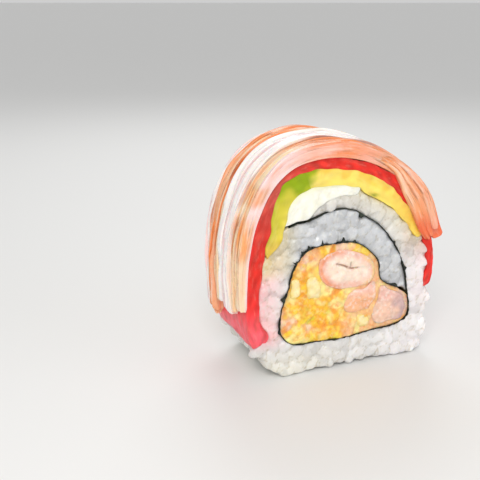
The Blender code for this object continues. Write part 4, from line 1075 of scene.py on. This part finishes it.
# For each stick, its strands from the front cut to the back: colour, and share under orange
# skin. Then the lines between the rows of skin: depth, width, colour and strength. The dark
# seared-brown ones at 4.25, 12.5 and 16.5 mm lie in the gaps between sticks and are painted shade.
CRAB_STRANDS = [[(CRAB_LILAC, 0.05), (CRAB_CREAM, 0.35), (CRAB_CREAM, 0.55), (CRAB_CREAM, 0.35)],
                [(CRAB_WHITE, 0.0), (CRAB_WHITE, 0.0), (CRAB_LILAC, 0.05)],
                [(CRAB_WHITE, 0.0), (CRAB_WHITE, 0.1), (CRAB_CREAM, 0.45)],
                [(CRAB_PEACH, 0.75), (CRAB_CREAM, 0.55), (CRAB_PEACH, 0.8)],
                [(CRAB_PEACH, 0.4), (CRAB_WHITE, 0.05), (CRAB_LILAC, 0.1)]]
CRAB_LINES = [(4.25, 0.22, CRAB_SEARED_AND_GAP_SHADE, 0.75), (7.6, 0.3, CRAB_MAUVE, 0.35),
              (11.9, 0.35, CRAB_ORANGE, 0.55), (15.0, 0.7, CRAB_ORANGE, 0.75),
              (12.5, 0.18, CRAB_SEARED_AND_GAP_SHADE, 0.5), (16.5, 0.2, CRAB_SEARED_AND_GAP_SHADE, 0.4)]
LIP_STRANDS = [(CRAB_CREAM, 0.75, 0.0), (CRAB_PEACH, 0.35, 0.1), (CRAB_LILAC, 0.6, 0.6)]


def crab_tint(points, lay, height, colour, skin, seed):
    """A strand's colours: its flesh, orange skin on top in long patches, painted shade low down
    at its sides where strands meet, seared marks, and lines along the stick, some of them painted
    shade in the gaps between sticks. The fourth value is the share of streaks in the skin."""
    streak = ripple(lay * (0.12, 1.0, 1.7), 1.5, seed)
    patch = ripple(lay * (0.06, 0.4, 0.5), 1.5, seed + 1)
    x, z, back = points[:, 0], points[:, 2], points[:, 1] + HALF_DEPTH
    top = step_up(height, 0.4, 0.8)
    front = step_up(back, 4.6, 3.8)
    right = step_up(x, 5.0, 13.0)
    over = front * step_up(z, 37.0, 41.0) * step_up(x, -14.5, -6.5)
    left = front * step_up(x, -12.0, -15.0)
    cover = step_up(patch + 2.6 * (skin - 0.45), -0.1, 1.1) * step_up(height, 0.3, 0.8)
    cover = np.maximum(cover, np.maximum(0.9 * over, 0.75 * right * (0.45 + 0.55 * front)))
    tint = mixed(colour, CRAB_WHITE, 0.4 * step_up(-streak, 0.3, 1.4))
    tint = mixed(tint, CRAB_AMBER, over * step_up(back, -0.9, 0.3))
    tint = mixed(tint, CRAB_CREAM, 0.85 * left * step_up(z, 34.5, 29.0) * step_up(height, 0.1, 0.35))
    tint = mixed(tint, CRAB_LILAC, 0.7 * left * step_up(height, 0.45, 0.15))
    tint = mixed(tint, CRAB_PEACH, 0.65 * right)
    tint = mixed(tint, CRAB_ORANGE, 0.5 * cover * step_up(streak, -0.5, 1.0))
    tint = mixed(tint, CRAB_SEARED_AND_GAP_SHADE, 0.35 * step_up(streak * cover, 0.9, 1.8))
    seared = np.maximum(np.exp(-((z - 29.6) / 4.0) ** 4), 0.75 * np.exp(-((z - 37.6) / 1.8) ** 4))
    seared = np.maximum(seared, 0.22 * np.exp(-((z - 21.5) / 3.5) ** 2))
    seared = seared * front * step_up(x, -13.0, -15.0) * step_up(height, 0.15, 0.4)
    tint = mixed(tint, CRAB_TOAST, 0.85 * seared * step_up(streak, -1.8, -0.4))
    tint = mixed(tint, CRAB_SEARED_AND_GAP_SHADE, 0.5 * seared * step_up(streak, 0.2, 1.3))
    tint = mixed(tint, CRAB_ORANGE, 0.6 * front * step_up(x, 11.0, 17.0))
    red = step_up(z, 32.5, 28.0) * step_up(x, 12.0, 16.0) * front
    tint = mixed(tint, CRAB_RED, 0.8 * red)
    # Lines along the sticks; the dark ones at 4.25, 12.5 and 16.5 mm are painted shade in the gaps between
    # sticks.
    for number, (place, wide, line_colour, amount) in enumerate(CRAB_LINES):
        drift = 0.3 * ripple(lay[:, :1] * 0.05, 1.5, 960 + int(place))
        line_here = top * (1 - 0.6 * right) * np.exp(-((back - place - drift) / wide) ** 2)
        # The painted shade in the gap behind the front stick is kept mostly to the top.
        if number == 0:
            amount = amount * (0.1 + 0.9 * step_up(z, 33.0, 42.0))
        tint = mixed(tint, line_colour, amount * line_here)
    # Painted shade low on each strand's sides, where neighbouring strands meet; stronger under the orange
    # skin.
    tint = mixed(tint, CRAB_STRAND_SIDE_SHADE, (0.04 + 0.28 * skin) * step_up(height, 0.78, 0.45))
    return np.column_stack((tint, np.clip(0.12 + 0.9 * cover + seared, 0, 1) * (1 - 0.7 * red)))


crab_material = food_material("crab_stick", [((0.97, 0.80, 0.68), 0.40, 12.0, 1.9, 0.52, 0.64),
                                             ((0.88, 0.24, 0.05), 0.65, 14.0, 1.5, 0.52, 0.66),
                                             ((0.36, 0.12, 0.06), 0.70, 26.0, 2.4, 0.575, 0.66)],
                              beads=1.6, dry=0.40, wet=0.18, relief=(0.04, 0.14),
                              under=0.3, under_scale=1.0, under_radius=(1.0, 0.5, 0.3),
                              coat=0.3, coat_rough=0.12, specular=0.4)
middle = len(tuna_outside) // 2
for stick, (name, near, far, thick) in enumerate(CRAB_STRIPS):
    foot_z, end_z, strands = CRAB_FOOT_Z[stick], CRAB_END_Z[stick], CRAB_STRANDS[stick]
    shells = []
    draw = np.random.default_rng(90 + stick)
    for k, (colour, skin) in enumerate(strands):
        low_z, high_z = foot_z + draw.uniform(0.0, 1.3), end_z + draw.uniform(-0.9, 1.2)
        low = int(np.argmin(np.abs(tuna_outside[:middle, 1] - low_z)))
        high = middle + int(np.argmin(np.abs(tuna_outside[middle:, 1] - high_z)))
        base = respaced(tuna_outside[low:high + 1], 0.55)
        share = np.linspace(0, 1, len(base))
        run = lengths_along(base)
        flat_run = np.column_stack((run, np.zeros_like(run)))
        tall = np.interp(share, np.linspace(0, 1, len(thick)), thick)
        tall = tall * (draw.uniform(0.92, 1.02) + 0.04 * ripple(flat_run, 14.0, 100 + 10 * stick + k))
        cuts = [near + (far - near) * (k + e) / len(strands) for e in (0, 1)]
        drift = [0.28 * ripple(flat_run, 22.0, 200 + 10 * stick + k + e) for e in (0, 1)]
        if k == 0:
            drift[0] = 0.15 * ripple(flat_run, 12.0, 300 + stick)
        if k == len(strands) - 1:
            drift[1] = 0.15 * ripple(flat_run, 12.0, 310 + stick)
        strand_near = cuts[0] + drift[0] - 0.12 - HALF_DEPTH
        strand_far = np.maximum(cuts[1] + drift[1] + 0.12 - HALF_DEPTH, strand_near + 0.5)
        lean = 0.22 * ripple(flat_run, 30.0, 400 + 10 * stick + k)
        points, quads, tris, lay, height = band(moved(base, 0.06), moved(base, 0.2 + tall), strand_near,
                                                strand_far, corner=0.2, across=7, deep=5,
                                                end_round=0.5, lean=lean, blunt=0.75)
        tint = crab_tint(points, lay, height, colour, skin, 500 + 10 * stick + k)
        fibre = ripple(lay * (0.12, 1.0, 1.0), 0.9, 600 + 10 * stick + k)
        points = bulged(points, quads, tris, 0.06 * fibre)
        shells.append((points, quads, tris, tint, lay))
    if stick == 0:
        # The front stick slumps over the cut at the right, as three strands lying on the tuna.
        inside_edge = soft_line(LIP_INSIDE, 0.5)
        outside_edge = stretch_of(tuna_outside, (4.6, 42.2), (20.2, 25.4))
        share = lengths_along(outside_edge) / lengths_along(outside_edge)[-1]
        outside_edge = moved(outside_edge, 2.6 - 1.5 * step_up(share, 0.6, 1.0))
        outside_edge = respaced(outside_edge, 0.5, len(inside_edge))
        for k, (colour, skin, pale) in enumerate(LIP_STRANDS):
            first, second = (inside_edge + (outside_edge - inside_edge) * e
                             for e in (k / 3 - 0.02, (k + 1) / 3 + 0.02))
            run = lengths_along(first)
            flat_run = np.column_stack((run, np.zeros_like(run)))
            share = run / run[-1]
            sag = 0.2 * ripple(flat_run, 9.0, 700 + k) * share + 1.05 * step_up(share, 0.35, 0.0)
            kept = len(first) - (0, 1, 4)[k]
            first, second, sag = first[:kept], second[:kept], sag[:kept]
            points, quads, tris, lay, height = band(first, second, -HALF_DEPTH - 0.85 + sag,
                                                    -HALF_DEPTH + 0.5, corner=0.35, across=6,
                                                    deep=5, end_round=0.7, blunt=0.7)
            front = step_up(points[:, 1], -HALF_DEPTH, -HALF_DEPTH - 0.6)
            tint = crab_tint(points, lay[:, [0, 2, 1]], np.maximum(front, 0.5), colour, skin, 720 + k)
            tint[:, :3] = mixed(tint[:, :3], LIP_PALE, pale * step_up(points[:, 2], 38.0, 31.0))
            fibre = ripple(lay * (0.12, 1.0, 1.0), 0.9, 740 + k)
            points = bulged(points, quads, tris, 0.06 * fibre)
            shells.append((points, quads, tris, tint, lay))
    food_piece(name.replace("strip", "stick"), shells, crab_material, [name], sharp=65.0)

# Studio.
# A plain pale floor under broad soft lights, seen from the photograph's side: place in metres,
# degrees down and to the side, and lens in millimetres. A light is a place, size, power, colour.
FLOOR_COLOUR = (0.80, 0.80, 0.79)
CAMERA_PLACE = (-0.072952, -0.132518, 0.072103)
CAMERA_DOWN, CAMERA_TURN, CAMERA_LENS = 17.5175, -22.2926, 57.028
LIGHTS = [("key", (-0.16, -0.26, 0.26), 0.18, 0.74, (1.0, 0.98, 0.95)),
          ("fill", (0.26, -0.24, 0.12), 0.24, 0.18, (0.97, 0.98, 1.0)),
          ("rim", (0.10, 0.24, 0.26), 0.20, 0.30, (1.0, 1.0, 1.0))]
floor_mesh = bpy.data.meshes.new("studio_floor")
floor_mesh.from_pydata([(-40, -40, 0), (40, -40, 0), (40, 40, 0), (-40, 40, 0)], [], [(0, 1, 2, 3)])
floor = bpy.data.objects.new("studio_floor", floor_mesh)
bpy.context.scene.collection.objects.link(floor)
floor_material = bpy.data.materials.new("studio_floor")
floor_material.use_nodes = True
floor_shader = floor_material.node_tree.nodes["Principled BSDF"]
floor_shader.inputs["Base Color"].default_value = (*FLOOR_COLOUR, 1.0)
floor_shader.inputs["Roughness"].default_value = 0.55
floor_mesh.materials.append(floor_material)

world = bpy.data.worlds.new("studio")
bpy.context.scene.world = world
world.use_nodes = True
world.node_tree.nodes["Background"].inputs["Color"].default_value = (1.0, 1.0, 1.0, 1.0)
world.node_tree.nodes["Background"].inputs["Strength"].default_value = 0.62
for name, place, size, power, colour in LIGHTS:
    lamp = bpy.data.lights.new(name, "AREA")
    lamp.size, lamp.energy, lamp.color = size, power, colour
    holder = bpy.data.objects.new(name, lamp)
    holder.location = place
    toward = np.array((0.0, 0.0, 0.022)) - np.array(place)
    holder.rotation_euler = (math.atan2(math.hypot(toward[0], toward[1]), -toward[2]), 0.0,
                             math.atan2(toward[0], -toward[1]) + math.pi)
    bpy.context.scene.collection.objects.link(holder)

camera = bpy.data.cameras.new("camera")
camera.sensor_fit, camera.sensor_width, camera.lens = "HORIZONTAL", 36.0, CAMERA_LENS
camera.clip_start, camera.clip_end = 0.005, 20.0
camera_holder = bpy.data.objects.new("camera", camera)
camera_holder.location = CAMERA_PLACE
camera_holder.rotation_euler = (math.radians(90 - CAMERA_DOWN), 0.0, math.radians(CAMERA_TURN))
bpy.context.scene.collection.objects.link(camera_holder)
bpy.context.scene.camera = camera_holder
bpy.context.scene.view_settings.view_transform = "Standard"
